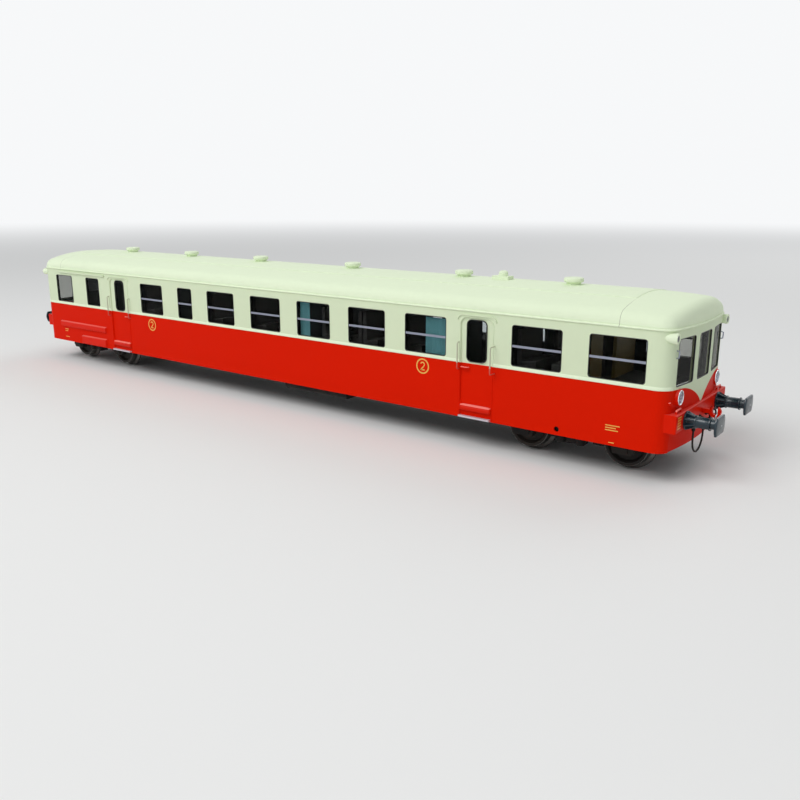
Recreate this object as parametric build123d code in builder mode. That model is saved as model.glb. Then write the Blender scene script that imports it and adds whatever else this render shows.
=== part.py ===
"""H0 (1:87) scale model of a four-axle bogie railcar trailer, in its own frame.

+X runs to the front end, +Z is up, and the origin lies on the floor under the middle.
Everything is in millimetres at the model's own size. The floor touches the wheel flanges.
"""
from build123d import *
import math
import os

os.makedirs("parts", exist_ok=True)

# Body shell
BODY_LENGTH = 223.0
BODY_WIDTH = 33.3
WALL = 1.0
SKIRT_Z = 7.1
GUTTER_Z = 31.6
CROWN_Z = 37.15
CROWN_RADIUS = 53.0
ROOF_EDGE_RADIUS = 2.5
ROOF_DROP_LENGTH = 15.0
ROOF_DROP_RADIUS = 147.0
ROOF_DROP_ANGLE = 15.0
BOW_RADIUS = 86.0
CORNER_RADIUS = 3.0
GUTTER_PROUD = 0.3
GUTTER_HEIGHT = 0.4
GUTTER_SEAT = 0.7
ROOF_SHEET_RISE = 0.12
ROOF_SHEET_HALF_WIDTH = 8.5
ROOF_SHEET_FROM_END = 12.0
APRON_FROM_SIDE = 2.35
APRON_RECESS = 0.25
FIT = 0.02

# Windows
WINDOW_LOW_Z = 20.75
WINDOW_HIGH_Z = 29.7
WINDOW_CORNER = 0.6
PANE_SET_BACK = 0.2
GLASS_SHEET = 0.5
GLASS_MARGIN = 0.7
GLASS_END_GAP = 0.6
SASH_BAR_Z = 25.1
SASH_BAR_HEIGHT = 0.5
SASH_BAR_PROUD = 0.15
END_WINDOW_LOW_Z = 20.3
END_WINDOW_HIGH_Z = 29.8
END_CORNER_PILLAR = 3.4
END_PILLAR = 2.2

# Doors
DOOR_TOP_Z = 30.2
DOOR_CORNER = 1.6
DOOR_RECESS = 0.25
DOOR_WINDOW_LOW_Z = 20.3
DOOR_WINDOW_CORNER = 1.2
DOOR_WINDOW_HIGH_Z = 29.85
DOOR_SILL_Z = 9.0
DOOR_SILL_HEIGHT = 1.0
DOOR_SILL_PROUD = 0.35
RAIN_STRIP_WIDTH = 0.3
RAIN_STRIP_PROUD = 0.25
RAIN_STRIP_OVERHANG = 1.1
RAIN_STRIP_RISE = 0.8
RAIN_STRIP_CORNER = 1.5
RAIN_STRIP_END_Z = 29.7
STEP_Z = 7.3
STEP_THICKNESS = 0.4
STEP_DEPTH = 0.8
BOARD_CORNER = 0.2
RAIL_RADIUS = 0.2
RAIL_LOW_Z = 18.4
RAIL_HIGH_Z = 24.5
RAIL_BEND = 0.4

# Running gear
FLANGE_DEPTH = 1.0
TREAD_RADIUS = 5.0
WHEEL_WIDTH = 2.8
FLANGE_WIDTH = 0.8
BACK_TO_BACK = 14.4
AXLE_RADIUS = 0.75
JOURNAL_RADIUS = 0.5
AXLE_HALF_LENGTH = 11.9
RUNNING_CLEARANCE = 0.05
BOGIE_FROM_END = 23.0
BOGIE_WHEELBASE = 23.0
SIDE_FRAME_IN_Y = 10.7
SIDE_FRAME_THICKNESS = 1.7
SIDE_FRAME_OVERHANG = 2.8
SIDE_FRAME_TOP_Z = 9.2
SIDE_FRAME_MIDDLE_Z = 6.6
SIDE_FRAME_LOW_Z = 4.2
SIDE_FRAME_SHOULDER = 3.0
SIDE_FRAME_END_Z = 8.2
SIDE_FRAME_FOOT = 1.0
SIDE_FRAME_SLOPE = 0.6
AXLEBOX_HALF_WIDTH = 2.0
AXLEBOX_COVER_SIZE = 2.8
AXLEBOX_COVER_PROUD = 0.3
AXLEBOX_CAP_RADIUS = 0.9
AXLEBOX_TAPER = 12.0
SPRING_X = 2.2
SPRING_RADIUS = 0.95
SPRING_LOW_Z = 4.6
BOLSTER_TOP_Z = 9.6
BOLSTER_LOW_Z = 7.6
BOLSTER_HALF_LENGTH = 4.4
PIVOT_POST_RADIUS = 2.0
PIVOT_BOSS_RADIUS = 4.5
PIVOT_GAP = 0.1
SCREW_RADIUS = 0.85
SCREW_HEAD_RADIUS = 2.9
SCREW_HEAD_HEIGHT = 0.8

# Chassis, ballast and interior
CHASSIS_LOW_Z = 12.6
CHASSIS_THICKNESS = 1.0
CHASSIS_GAP = 0.1
BALLAST_LENGTH = 124.0
BALLAST_WIDTH = 24.0
BALLAST_HEIGHT = 2.0
FLOOR_THICKNESS = 0.8
FLOOR_GAP = 1.05
FLOOR_RIM = 0.8
SEAT_DEPTH = 4.6
SEAT_HEIGHT = 5.0
SEAT_BACK_HEIGHT = 12.0
SEAT_BACK_THICKNESS = 0.9
SEAT_WALL_GAP = 1.9
SEAT_CUSHION_THICKNESS = 1.5
SEAT_SLOPE = 0.3
PARTITION_THICKNESS = 0.8
PARTITION_TOP_Z = 31.4
PARTITION_GAP = 0.3
AISLE_WIDTH = 7.6
DOORWAY_TOP_Z = 29.6

# Buffer beam, buffers and lamps
BEAM_PROUD = 0.5
BEAM_DEPTH = 2.6
BEAM_FROM_SIDE = 0.85
BEAM_LOW_Z = 11.5
BEAM_HIGH_Z = 15.2
BEAM_EDGE = 0.25
BUFFER_Y = 10.05
BUFFER_Z = 13.2
BUFFER_REACH = 7.4
BUFFER_PLATE_RADIUS = 1.95
BUFFER_PLATE_THICKNESS = 0.3
BUFFER_BASE_LENGTH = 1.9
BUFFER_CORE_RADIUS = 1.0
BUFFER_RIB_COUNT = 8
BUFFER_RIB_THICKNESS = 0.3
BUFFER_SLEEVE_RADIUS = 1.18
BUFFER_SLEEVE_LENGTH = 2.5
BUFFER_COLLAR_RADIUS = 1.38
BUFFER_COLLAR_WIDTH = 0.3
BUFFER_PLUNGER_RADIUS = 1.0
BUFFER_HEAD_DIAMETER = 5.8
BUFFER_HEAD_HEIGHT = 3.7
BUFFER_HEAD_THICKNESS = 0.6
HEADLAMP_FROM_SIDE = 4.95
HEADLAMP_Z = 18.0
HEADLAMP_RADIUS = 1.75
HEADLAMP_PROUD = 0.4
HEADLAMP_DEPTH = 1.3
HEADLAMP_LENS_RADIUS = 1.4
MARKER_FROM_SIDE = 0.95
MARKER_Z = 30.3
MARKER_RADIUS = 1.05
MARKER_BACK_RADIUS = 0.7
MARKER_FROM_END = 0.4
MARKER_LENGTH = 2.8
MARKER_LENS_RADIUS = 0.65
LENS_THICKNESS = 0.5

HALF_WIDTH = BODY_WIDTH / 2
HALF_LENGTH = BODY_LENGTH / 2
BOW_CENTRE_X = HALF_LENGTH - BOW_RADIUS
SIDE_END_X = BOW_CENTRE_X + math.sqrt(
    (BOW_RADIUS - CORNER_RADIUS) ** 2 - (HALF_WIDTH - CORNER_RADIUS) ** 2
)
ROOF_STRAIGHT_X = HALF_LENGTH - ROOF_DROP_LENGTH
ROOF_SHEET_END_X = HALF_LENGTH - ROOF_SHEET_FROM_END
BOGIE_CENTRE_X = HALF_LENGTH - BOGIE_FROM_END
BEAM_FRONT_X = HALF_LENGTH + BEAM_PROUD
BEAM_BACK_X = BEAM_FRONT_X - BEAM_DEPTH
BEAM_HALF_WIDTH = HALF_WIDTH - BEAM_FROM_SIDE
BUFFER_FACE_X = HALF_LENGTH + BUFFER_REACH
HEADLAMP_Y = HALF_WIDTH - HEADLAMP_FROM_SIDE
MARKER_Y = HALF_WIDTH - MARKER_FROM_SIDE
FLANGE_RADIUS = TREAD_RADIUS + FLANGE_DEPTH
AXLE_Z = FLANGE_RADIUS
FLOOR_TOP_Z = CHASSIS_LOW_Z + CHASSIS_THICKNESS + BALLAST_HEIGHT + FLOOR_THICKNESS


# The tables below give places along a body of this length, whose bays spread as far as this
DRAWN_LENGTH = 223.0
BAYS_END_X = 87.5


def placed(x):
    """Where a thing drawn at x stands: it keeps its distance from the end, or spreads with the bays."""
    share = max(-1.0, min(1.0, x / BAYS_END_X))
    return x + share * (BODY_LENGTH - DRAWN_LENGTH) / 2


# Side windows, rear to front. The door windows belong to the two doors below.
# name, x middle, width, z low, z high, corner radius, has a sliding sash bar
BAY_ROW = (WINDOW_LOW_Z, WINDOW_HIGH_Z, WINDOW_CORNER)
DOOR_ROW = (DOOR_WINDOW_LOW_Z, DOOR_WINDOW_HIGH_Z, DOOR_WINDOW_CORNER)
SIDE_WINDOWS = [
    ("luggage_rear", -98.15, 9.4, *BAY_ROW, False),
    ("luggage_front", -81.7, 7.2, *BAY_ROW, False),
    ("rear_door", -67.1, 4.6, *DOOR_ROW, False),
    ("bay_1", -50.5, 10.7, *BAY_ROW, True),
    ("toilet", -34.6, 6.4, *BAY_ROW, True),
    ("bay_2", -18.85, 11.3, *BAY_ROW, True),
    ("bay_3", -0.75, 11.4, *BAY_ROW, True),
    ("bay_4", 17.0, 11.5, *BAY_ROW, True),
    ("bay_5", 34.8, 11.6, *BAY_ROW, True),
    ("bay_6", 52.55, 11.7, *BAY_ROW, True),
    ("front_door", 66.6, 5.2, *DOOR_ROW, False),
    ("bay_7", 81.45, 11.9, *BAY_ROW, True),
    ("bay_8", 99.45, 12.1, *BAY_ROW, True),
]

# Passenger doors: x middle, leaf width, handrails as (edge, gap to the leaf, stand-off)
DOORS = [
    (-67.3, 9.0, [(-1, 0.9, 0.8), (1, 0.9, 0.8)]),
    (66.6, 8.2, [(-1, 0.4, 0.9), (1, 0.7, 2.0)]),
]

# Luggage bay boards on the outside of the rear end: x low, x high, z low, z high, proud
LUGGAGE_BOARDS = [
    (-102.1, -75.8, 12.3, 13.8, 0.5),
    (-90.0, -76.1, 7.4, 9.8, 0.5),
]
LUGGAGE_RAIL = (-100.5, -74.5, 30.6, 31.1, 0.5)

# A round hole in the skirt beside the front bogie: x, z, radius
SKIRT_HOLE = (87.0, 8.4, 0.6)

# Roof vents along the ridge, and the small box with its knob
VENT_X = [-81.7, -50.8, -19.2, 16.5, 52.25, 81.4]
VENT_HEIGHT = 1.6
VENT_TOP_RADIUS = 2.2
VENT_BASE_RADIUS = 1.6
VENT_LIP = 0.3
ROOF_BOX_X = 63.1
ROOF_BOX_SIZE = (4.4, 2.6, 0.8)
ROOF_KNOB_RADIUS = 1.1
ROOF_KNOB_HEIGHT = 1.25
ROOF_KNOB_EDGE = 0.7
ROOF_KNOB_AHEAD = 0.2

# Cross partitions, each with a doorway in the middle: x middle
PARTITION_X = [-90.5, -73.7, -60.7, -41.1, -28.7, 13.7, 59.9, 73.3, 90.5]

# Seat rows: x middle, direction that the passenger faces (+1 is forward)
SEAT_ROWS = [
    (-55.0, 1), (-45.7, -1),
    (-23.4, 1), (-14.1, -1),
    (-5.5, 1), (3.8, -1),
    (20.0, 1), (28.8, -1),
    (33.9, 1), (42.1, -1),
    (47.3, 1), (55.5, -1),
    (77.7, 1), (86.1, -1),
]

# Underframe gear between the bogies: name, x middle, side (+1 is left), length, depth below the chassis
GEAR_BOX_WIDTH = 6.0
GEAR_FROM_WALL = 1.65
GEAR_BOXES = [
    ("battery_box", -28.5, 1, 22.0, 7.4),
    ("heater_box", 9.5, 1, 16.0, 6.6),
    ("tool_box", 35.5, 1, 12.0, 5.6),
    ("switch_box", -40.5, -1, 12.0, 5.8),
    ("battery_box_right", 15.5, -1, 22.0, 7.4),
]
GEAR_EDGE = 0.5
AIR_TANKS = [(-14.5, -1), (39.5, -1)]
AIR_TANK_LENGTH = 14.0
AIR_TANK_RADIUS = 2.4
AIR_TANK_DROP = 3.4
TANK_STRAP_WIDTH = 0.8
TANK_STRAP_PROUD = 0.2
SILL_FROM_BOGIE = 23.0
SILL_WIDTH = 5.0
SILL_DEPTH = 3.0
SILL_GROOVE = 1.4


def outline_x(y):
    """How far out the body's outline lies at the distance y from the middle."""
    if abs(y) < BOW_RADIUS * (HALF_WIDTH - CORNER_RADIUS) / (BOW_RADIUS - CORNER_RADIUS):
        return BOW_CENTRE_X + math.sqrt(BOW_RADIUS**2 - y**2)
    corner_y = abs(y) - (HALF_WIDTH - CORNER_RADIUS)
    return SIDE_END_X + math.sqrt(CORNER_RADIUS**2 - corner_y**2)


def plan_face(inset=0.0):
    """The body's outline from above, moved inwards by inset: bowed ends and round corners."""
    half = HALF_WIDTH - inset
    bow = BOW_RADIUS - inset
    tip = HALF_LENGTH - inset
    meet_x = tip - bow + math.sqrt(bow**2 - half**2)
    with BuildSketch() as plan:
        with BuildLine():
            Line((-meet_x, -half), (meet_x, -half))
            ThreePointArc((meet_x, -half), (tip, 0), (meet_x, half))
            Line((meet_x, half), (-meet_x, half))
            ThreePointArc((-meet_x, half), (-tip, 0), (-meet_x, -half))
        make_face()
        fillet(plan.vertices(), CORNER_RADIUS - inset)
    return plan.sketch


def plan_ring(outer_inset, inner_inset, low_z, high_z):
    """A wall that follows the body's outline between two insets and two heights."""
    with BuildPart() as ring:
        with BuildSketch(Plane.XY.offset(low_z)):
            add(plan_face(outer_inset))
            add(plan_face(inner_inset), mode=Mode.SUBTRACT)
        extrude(amount=high_z - low_z)
    return ring.part


def roof_block(inset=0.0, rise=0.0):
    """The solid under the roof's crown, trimmed to the outline and rounded along its edge."""
    half = HALF_WIDTH + 2 * ROOF_EDGE_RADIUS
    radius = CROWN_RADIUS - inset + rise
    top = CROWN_Z - inset + rise
    edge_z = top - radius + math.sqrt(radius**2 - half**2)
    low_z = GUTTER_Z - 3 * ROOF_EDGE_RADIUS
    with BuildPart() as block:
        for x in (0.0, ROOF_STRAIGHT_X):
            with BuildSketch(Plane.YZ.offset(x)) as section:
                with BuildLine():
                    ThreePointArc((-half, edge_z), (0, top), (half, edge_z))
                    Polyline((half, edge_z), (half, low_z), (-half, low_z), (-half, edge_z))
                make_face()
            if x == 0.0:
                extrude(amount=ROOF_STRAIGHT_X)
            else:
                turn = Axis((x, 0, CROWN_Z - ROOF_DROP_RADIUS), (0, 1, 0))
                revolve(axis=turn, revolution_arc=ROOF_DROP_ANGLE)
        mirror(about=Plane.YZ)
        with BuildSketch(Plane.XY.offset(low_z + WALL)):
            add(plan_face(inset))
        extrude(amount=CROWN_Z, mode=Mode.INTERSECT)
        rim = block.edges().filter_by(
            lambda e: e.center().Z > GUTTER_Z + FIT
            and (abs(e.center().X) > ROOF_STRAIGHT_X + FIT or abs(e.center().Y) > HALF_WIDTH / 2)
        )
        fillet(rim, ROOF_EDGE_RADIUS - inset)
        split(bisect_by=Plane.XY.offset(GUTTER_Z), keep=Keep.TOP)
    return block.part


def save(part, name):
    """Label a finished piece and write it to its own file."""
    part.label = name
    export_step(part, f"parts/{name}.step")


def rounded_window(x_low, x_high, z_low, z_high, corner, grow=0.0):
    """A rounded rectangle in the plane being drawn on, grown by grow on every side."""
    with Locations(((x_low + x_high) / 2, (z_low + z_high) / 2)):
        RectangleRounded(x_high - x_low + 2 * grow, z_high - z_low + 2 * grow, corner + grow)


def side_plane(sign, y):
    """A plane at |Y| = y whose drawing axes are X and Z and whose normal points outwards."""
    if sign < 0:
        return Plane(origin=(0, -y, 0), x_dir=(1, 0, 0), z_dir=(0, -1, 0))
    return Plane(origin=(0, y, 0), x_dir=(-1, 0, 0), z_dir=(0, 1, 0))


def side_x(sign, x_low, x_high):
    """The two X values in side_plane's own drawing direction, lowest first."""
    if sign < 0:
        return x_low, x_high
    return -x_high, -x_low


SIDES = [("right", -1), ("left", 1)]
ENDS = [("front", 1), ("rear", -1)]

# Body sides: flat panels with the windows, the recessed doors and the luggage bay's boards
for side, sign in SIDES:
    with BuildPart() as panel:
        with BuildSketch(side_plane(sign, HALF_WIDTH)):
            with Locations((0, (SKIRT_Z + GUTTER_Z) / 2)):
                Rectangle(2 * SIDE_END_X, GUTTER_Z - SKIRT_Z)
        extrude(amount=-WALL)
        for drawn_x, leaf, rails in DOORS:
            door_x = placed(drawn_x)
            low, high = side_x(sign, door_x - leaf / 2, door_x + leaf / 2)
            with BuildSketch(side_plane(sign, HALF_WIDTH)):
                rounded_window(low, high, DOOR_SILL_Z + DOOR_SILL_HEIGHT, DOOR_TOP_Z, DOOR_CORNER)
            extrude(amount=-DOOR_RECESS, mode=Mode.SUBTRACT)
            with BuildSketch(side_plane(sign, HALF_WIDTH)):
                middle = (low + high) / 2
                with Locations((middle, DOOR_SILL_Z + DOOR_SILL_HEIGHT / 2)):
                    Rectangle(leaf, DOOR_SILL_HEIGHT)
            extrude(amount=DOOR_SILL_PROUD)
            step_top_z = STEP_Z + STEP_THICKNESS
            with BuildSketch(side_plane(sign, HALF_WIDTH)):
                with Locations((middle, (step_top_z + DOOR_SILL_Z) / 2)):
                    Rectangle(leaf, DOOR_SILL_Z - step_top_z)
            extrude(amount=-DOOR_RECESS, mode=Mode.SUBTRACT)
            strip_width = leaf + 2 * RAIN_STRIP_OVERHANG
            strip_height = DOOR_TOP_Z + RAIN_STRIP_RISE - DOOR_SILL_Z
            with BuildSketch(side_plane(sign, HALF_WIDTH)):
                with Locations((middle, DOOR_SILL_Z + strip_height / 2)):
                    for inset, mode in ((0.0, Mode.ADD), (RAIN_STRIP_WIDTH, Mode.SUBTRACT)):
                        RectangleRounded(
                            strip_width - 2 * inset, strip_height - 2 * inset,
                            RAIN_STRIP_CORNER - inset, mode=mode,
                        )
                with Locations((middle, DOOR_SILL_Z)):
                    Rectangle(2 * strip_width, 2 * (RAIN_STRIP_END_Z - DOOR_SILL_Z), mode=Mode.SUBTRACT)
            extrude(amount=RAIN_STRIP_PROUD)
        for x_low, x_high, z_low, z_high, proud in LUGGAGE_BOARDS + [LUGGAGE_RAIL]:
            low, high = side_x(sign, placed(x_low), placed(x_high))
            with BuildSketch(side_plane(sign, HALF_WIDTH)):
                rounded_window(low, high, z_low, z_high, BOARD_CORNER)
            extrude(amount=proud)
        hole_x, hole_z, hole_radius = SKIRT_HOLE
        with BuildSketch(side_plane(sign, HALF_WIDTH)):
            with Locations((-sign * placed(hole_x), hole_z)):
                Circle(hole_radius)
        extrude(amount=-WALL, mode=Mode.SUBTRACT)
        for name, x, width, z_low, z_high, corner, bar in SIDE_WINDOWS:
            low, high = side_x(sign, placed(x) - width / 2, placed(x) + width / 2)
            with BuildSketch(side_plane(sign, HALF_WIDTH)):
                rounded_window(low, high, z_low, z_high, corner)
            extrude(amount=-WALL, mode=Mode.SUBTRACT)
    save(panel.part, f"side_{side}")

# End windows: y middle. All three are as wide as the pillars leave them
END_WINDOW_WIDTH = (2 * (HALF_WIDTH - END_CORNER_PILLAR) - 2 * END_PILLAR) / 3
END_WINDOW_Y = [y * (END_WINDOW_WIDTH + END_PILLAR) for y in (-1, 0, 1)]

# Body ends: bowed shells round both corners, with three windows, lamp holes and a set back apron
for end, sign in ENDS:
    with BuildPart() as shell:
        add(plan_ring(0.0, WALL, SKIRT_Z, GUTTER_Z))
        split(bisect_by=Plane.YZ.offset(sign * SIDE_END_X), keep=Keep.TOP if sign > 0 else Keep.BOTTOM)
        for y in END_WINDOW_Y:
            with BuildSketch(Plane.YZ):
                rounded_window(
                    y - END_WINDOW_WIDTH / 2, y + END_WINDOW_WIDTH / 2,
                    END_WINDOW_LOW_Z, END_WINDOW_HIGH_Z, WINDOW_CORNER,
                )
            extrude(amount=sign * BODY_LENGTH, mode=Mode.SUBTRACT)
        with BuildSketch(Plane.YZ):
            with Locations((-HEADLAMP_Y, HEADLAMP_Z), (HEADLAMP_Y, HEADLAMP_Z)):
                Circle(HEADLAMP_RADIUS + FIT)
        extrude(amount=sign * BODY_LENGTH, mode=Mode.SUBTRACT)
        with BuildPart(mode=Mode.PRIVATE) as apron_skin:
            add(plan_ring(0.0, APRON_RECESS, SKIRT_Z, BEAM_LOW_Z))
            with Locations((sign * HALF_LENGTH, 0, (SKIRT_Z + BEAM_LOW_Z) / 2)):
                Box(
                    2 * BOW_RADIUS, 2 * (HALF_WIDTH - APRON_FROM_SIDE), BEAM_LOW_Z - SKIRT_Z,
                    mode=Mode.INTERSECT,
                )
        add(apron_skin.part, mode=Mode.SUBTRACT)
    save(shell.part, f"end_{end}")

# Roof: hollow, crowned, dropping to the ends, with a gutter and a raised middle sheet
with BuildPart() as roof:
    add(roof_block())
    with BuildPart(mode=Mode.PRIVATE) as sheet:
        add(roof_block(rise=ROOF_SHEET_RISE))
        with Locations((0, 0, CROWN_Z)):
            Box(2 * ROOF_SHEET_END_X, 2 * ROOF_SHEET_HALF_WIDTH, 8.0, mode=Mode.INTERSECT)
    add(sheet.part)
    add(plan_ring(-GUTTER_PROUD, GUTTER_SEAT, GUTTER_Z, GUTTER_Z + GUTTER_HEIGHT))
    add(roof_block(inset=WALL), mode=Mode.SUBTRACT)
save(roof.part, "roof")

# Glazing: clear mouldings inside the walls, with a raised pane filling each window
for side, sign in SIDES:
    with BuildPart() as glazing:
        with BuildSketch(side_plane(sign, HALF_WIDTH - WALL - FIT)):
            reach = SIDE_END_X - GLASS_END_GAP
            low_z = DOOR_WINDOW_LOW_Z - GLASS_MARGIN
            rounded_window(-reach, reach, low_z, WINDOW_HIGH_Z + GLASS_MARGIN, WINDOW_CORNER)
        extrude(amount=-GLASS_SHEET)
        with BuildSketch(side_plane(sign, HALF_WIDTH - WALL - FIT)):
            for name, x, width, z_low, z_high, corner, bar in SIDE_WINDOWS:
                low, high = side_x(sign, placed(x) - width / 2, placed(x) + width / 2)
                rounded_window(low, high, z_low, z_high, corner, -FIT)
        extrude(amount=WALL + FIT - PANE_SET_BACK)
    save(glazing.part, f"glazing_{side}")

with BuildPart() as end_glazing:
    for end, sign in ENDS:
        sheet_inset = WALL + FIT
        low_z = END_WINDOW_LOW_Z - GLASS_MARGIN
        high_z = END_WINDOW_HIGH_Z + GLASS_MARGIN
        with BuildPart(mode=Mode.PRIVATE) as curved_sheet:
            add(plan_ring(sheet_inset, sheet_inset + GLASS_SHEET, low_z, high_z))
            half_y = HALF_WIDTH - END_CORNER_PILLAR + GLASS_MARGIN
            with Locations((sign * HALF_LENGTH, 0, (low_z + high_z) / 2)):
                Box(2 * BOW_RADIUS, 2 * half_y, high_z - low_z, mode=Mode.INTERSECT)
        with BuildPart(mode=Mode.PRIVATE) as panes:
            for y in END_WINDOW_Y:
                with BuildSketch(Plane.YZ):
                    rounded_window(
                        y - END_WINDOW_WIDTH / 2, y + END_WINDOW_WIDTH / 2,
                        END_WINDOW_LOW_Z, END_WINDOW_HIGH_Z, WINDOW_CORNER, -FIT,
                    )
                extrude(amount=sign * BODY_LENGTH)
            add(
                plan_ring(PANE_SET_BACK, sheet_inset + FIT, low_z, high_z),
                mode=Mode.INTERSECT,
            )
        add(curved_sheet.part)
        add(panes.part)
save(end_glazing.part, "glazing_ends")

# Sash bars: the silver rail of each sliding window, lying on its pane
with BuildPart() as sash_bars:
    for side, sign in SIDES:
        with BuildSketch(side_plane(sign, HALF_WIDTH - PANE_SET_BACK)):
            for name, x, width, z_low, z_high, corner, bar in SIDE_WINDOWS:
                if bar:
                    with Locations((-sign * placed(x), SASH_BAR_Z)):
                        Rectangle(width - 4 * FIT, SASH_BAR_HEIGHT)
        extrude(amount=SASH_BAR_PROUD)
save(sash_bars.part, "sash_bars")

# Chassis: the floor plate that fills the body, with a boss and post for each bogie
CHASSIS_TOP_Z = CHASSIS_LOW_Z + CHASSIS_THICKNESS
BOSS_LOW_Z = BOLSTER_TOP_Z + PIVOT_GAP
POST_LOW_Z = BOLSTER_LOW_Z - PIVOT_GAP
with BuildPart() as chassis:
    with BuildSketch(Plane.XY.offset(CHASSIS_LOW_Z)):
        add(plan_face(WALL + CHASSIS_GAP))
    extrude(amount=CHASSIS_THICKNESS)
    for x in (-BOGIE_CENTRE_X, BOGIE_CENTRE_X):
        with BuildSketch(Plane.XY.offset(BOSS_LOW_Z)):
            with Locations((x, 0)):
                Circle(PIVOT_BOSS_RADIUS)
        extrude(amount=CHASSIS_LOW_Z - BOSS_LOW_Z)
        with BuildSketch(Plane.XY.offset(POST_LOW_Z)):
            with Locations((x, 0)):
                Circle(PIVOT_POST_RADIUS)
        extrude(amount=CHASSIS_LOW_Z - POST_LOW_Z)
        with BuildSketch(Plane.XY.offset(POST_LOW_Z)):
            with Locations((x, 0)):
                Circle(SCREW_RADIUS + FIT)
        extrude(amount=CHASSIS_LOW_Z - POST_LOW_Z, mode=Mode.SUBTRACT)
save(chassis.part, "chassis")

with BuildPart() as screws:
    for x in (-BOGIE_CENTRE_X, BOGIE_CENTRE_X):
        with BuildSketch(Plane.XY.offset(POST_LOW_Z)):
            with Locations((x, 0)):
                Circle(SCREW_HEAD_RADIUS)
        extrude(amount=-SCREW_HEAD_HEIGHT)
        with BuildSketch(Plane.XY.offset(POST_LOW_Z)):
            with Locations((x, 0)):
                Circle(SCREW_RADIUS)
        extrude(amount=CHASSIS_LOW_Z - POST_LOW_Z - PIVOT_GAP)
save(screws.part, "pivot_screws")

# Ballast: one steel bar between the chassis and the seat moulding
with BuildPart() as ballast:
    with BuildSketch(Plane.XY.offset(CHASSIS_TOP_Z)):
        Rectangle(BALLAST_LENGTH, BALLAST_WIDTH)
    extrude(amount=BALLAST_HEIGHT)
save(ballast.part, "ballast")

# Interior: a floor tray over the ballast, the seats that stand on it and the cross partitions
with BuildPart() as interior:
    add(plan_ring(WALL + FLOOR_GAP, WALL + FLOOR_GAP + FLOOR_RIM, CHASSIS_TOP_Z, FLOOR_TOP_Z))
    with BuildSketch(Plane.XY.offset(FLOOR_TOP_Z)):
        add(plan_face(WALL + FLOOR_GAP))
    extrude(amount=-FLOOR_THICKNESS)
save(interior.part, "interior")

SEAT_WIDTH = HALF_WIDTH - WALL - SEAT_WALL_GAP - AISLE_WIDTH / 2
with BuildPart() as seats:
    for drawn_x, facing in SEAT_ROWS:
        x = placed(drawn_x)
        back_x = x - facing * SEAT_DEPTH / 2
        front_x = x + facing * SEAT_DEPTH / 2
        for low_y in (-AISLE_WIDTH / 2 - SEAT_WIDTH, AISLE_WIDTH / 2):
            with BuildSketch(Plane.XZ.offset(-low_y - SEAT_WIDTH)):
                with BuildLine():
                    Polyline(
                        (back_x, FLOOR_TOP_Z),
                        (back_x, FLOOR_TOP_Z + SEAT_BACK_HEIGHT),
                        (back_x + facing * SEAT_BACK_THICKNESS, FLOOR_TOP_Z + SEAT_BACK_HEIGHT),
                        (back_x + facing * (SEAT_BACK_THICKNESS + SEAT_SLOPE), FLOOR_TOP_Z + SEAT_HEIGHT),
                        (front_x, FLOOR_TOP_Z + SEAT_HEIGHT + SEAT_SLOPE),
                        (front_x, FLOOR_TOP_Z + SEAT_HEIGHT - SEAT_CUSHION_THICKNESS),
                        (front_x - facing * SEAT_CUSHION_THICKNESS, FLOOR_TOP_Z),
                        close=True,
                    )
                make_face()
            extrude(amount=SEAT_WIDTH)
save(seats.part, "seats")

with BuildPart() as partitions:
    for drawn_x in PARTITION_X:
        half_y = HALF_WIDTH - WALL - GLASS_SHEET - PARTITION_GAP
        with BuildSketch(Plane.YZ.offset(placed(drawn_x) - PARTITION_THICKNESS / 2)):
            with Locations((0, (FLOOR_TOP_Z + PARTITION_TOP_Z) / 2)):
                Rectangle(2 * half_y, PARTITION_TOP_Z - FLOOR_TOP_Z)
            with Locations((0, (FLOOR_TOP_Z + DOORWAY_TOP_Z) / 2)):
                Rectangle(AISLE_WIDTH, DOORWAY_TOP_Z - FLOOR_TOP_Z, mode=Mode.SUBTRACT)
        extrude(amount=PARTITION_THICKNESS)
save(partitions.part, "partitions")

# Underframe: the grooved centre sill, the equipment boxes and the air tanks
SILL_HALF_LENGTH = BOGIE_CENTRE_X - SILL_FROM_BOGIE
with BuildPart() as sill:
    with BuildSketch(Plane.YZ.offset(-SILL_HALF_LENGTH)):
        with Locations((0, CHASSIS_LOW_Z - SILL_DEPTH / 2)):
            Rectangle(SILL_WIDTH, SILL_DEPTH)
        for y in (-SILL_WIDTH / 2, SILL_WIDTH / 2):
            with Locations((y, CHASSIS_LOW_Z - SILL_DEPTH / 2)):
                Rectangle(2 * SILL_GROOVE, SILL_DEPTH / 2, mode=Mode.SUBTRACT)
    extrude(amount=2 * SILL_HALF_LENGTH)
save(sill.part, "centre_sill")

with BuildPart() as boxes:
    for name, drawn_x, side_sign, length, depth in GEAR_BOXES:
        y = side_sign * (HALF_WIDTH - GEAR_FROM_WALL - GEAR_BOX_WIDTH / 2)
        with Locations((placed(drawn_x), y, CHASSIS_LOW_Z - depth / 2)):
            Box(length, GEAR_BOX_WIDTH, depth)
    low_edges = boxes.edges().filter_by(lambda e: e.center().Z < CHASSIS_LOW_Z - GEAR_EDGE)
    chamfer(low_edges.filter_by(Axis.X), GEAR_EDGE)
save(boxes.part, "equipment_boxes")

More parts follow.
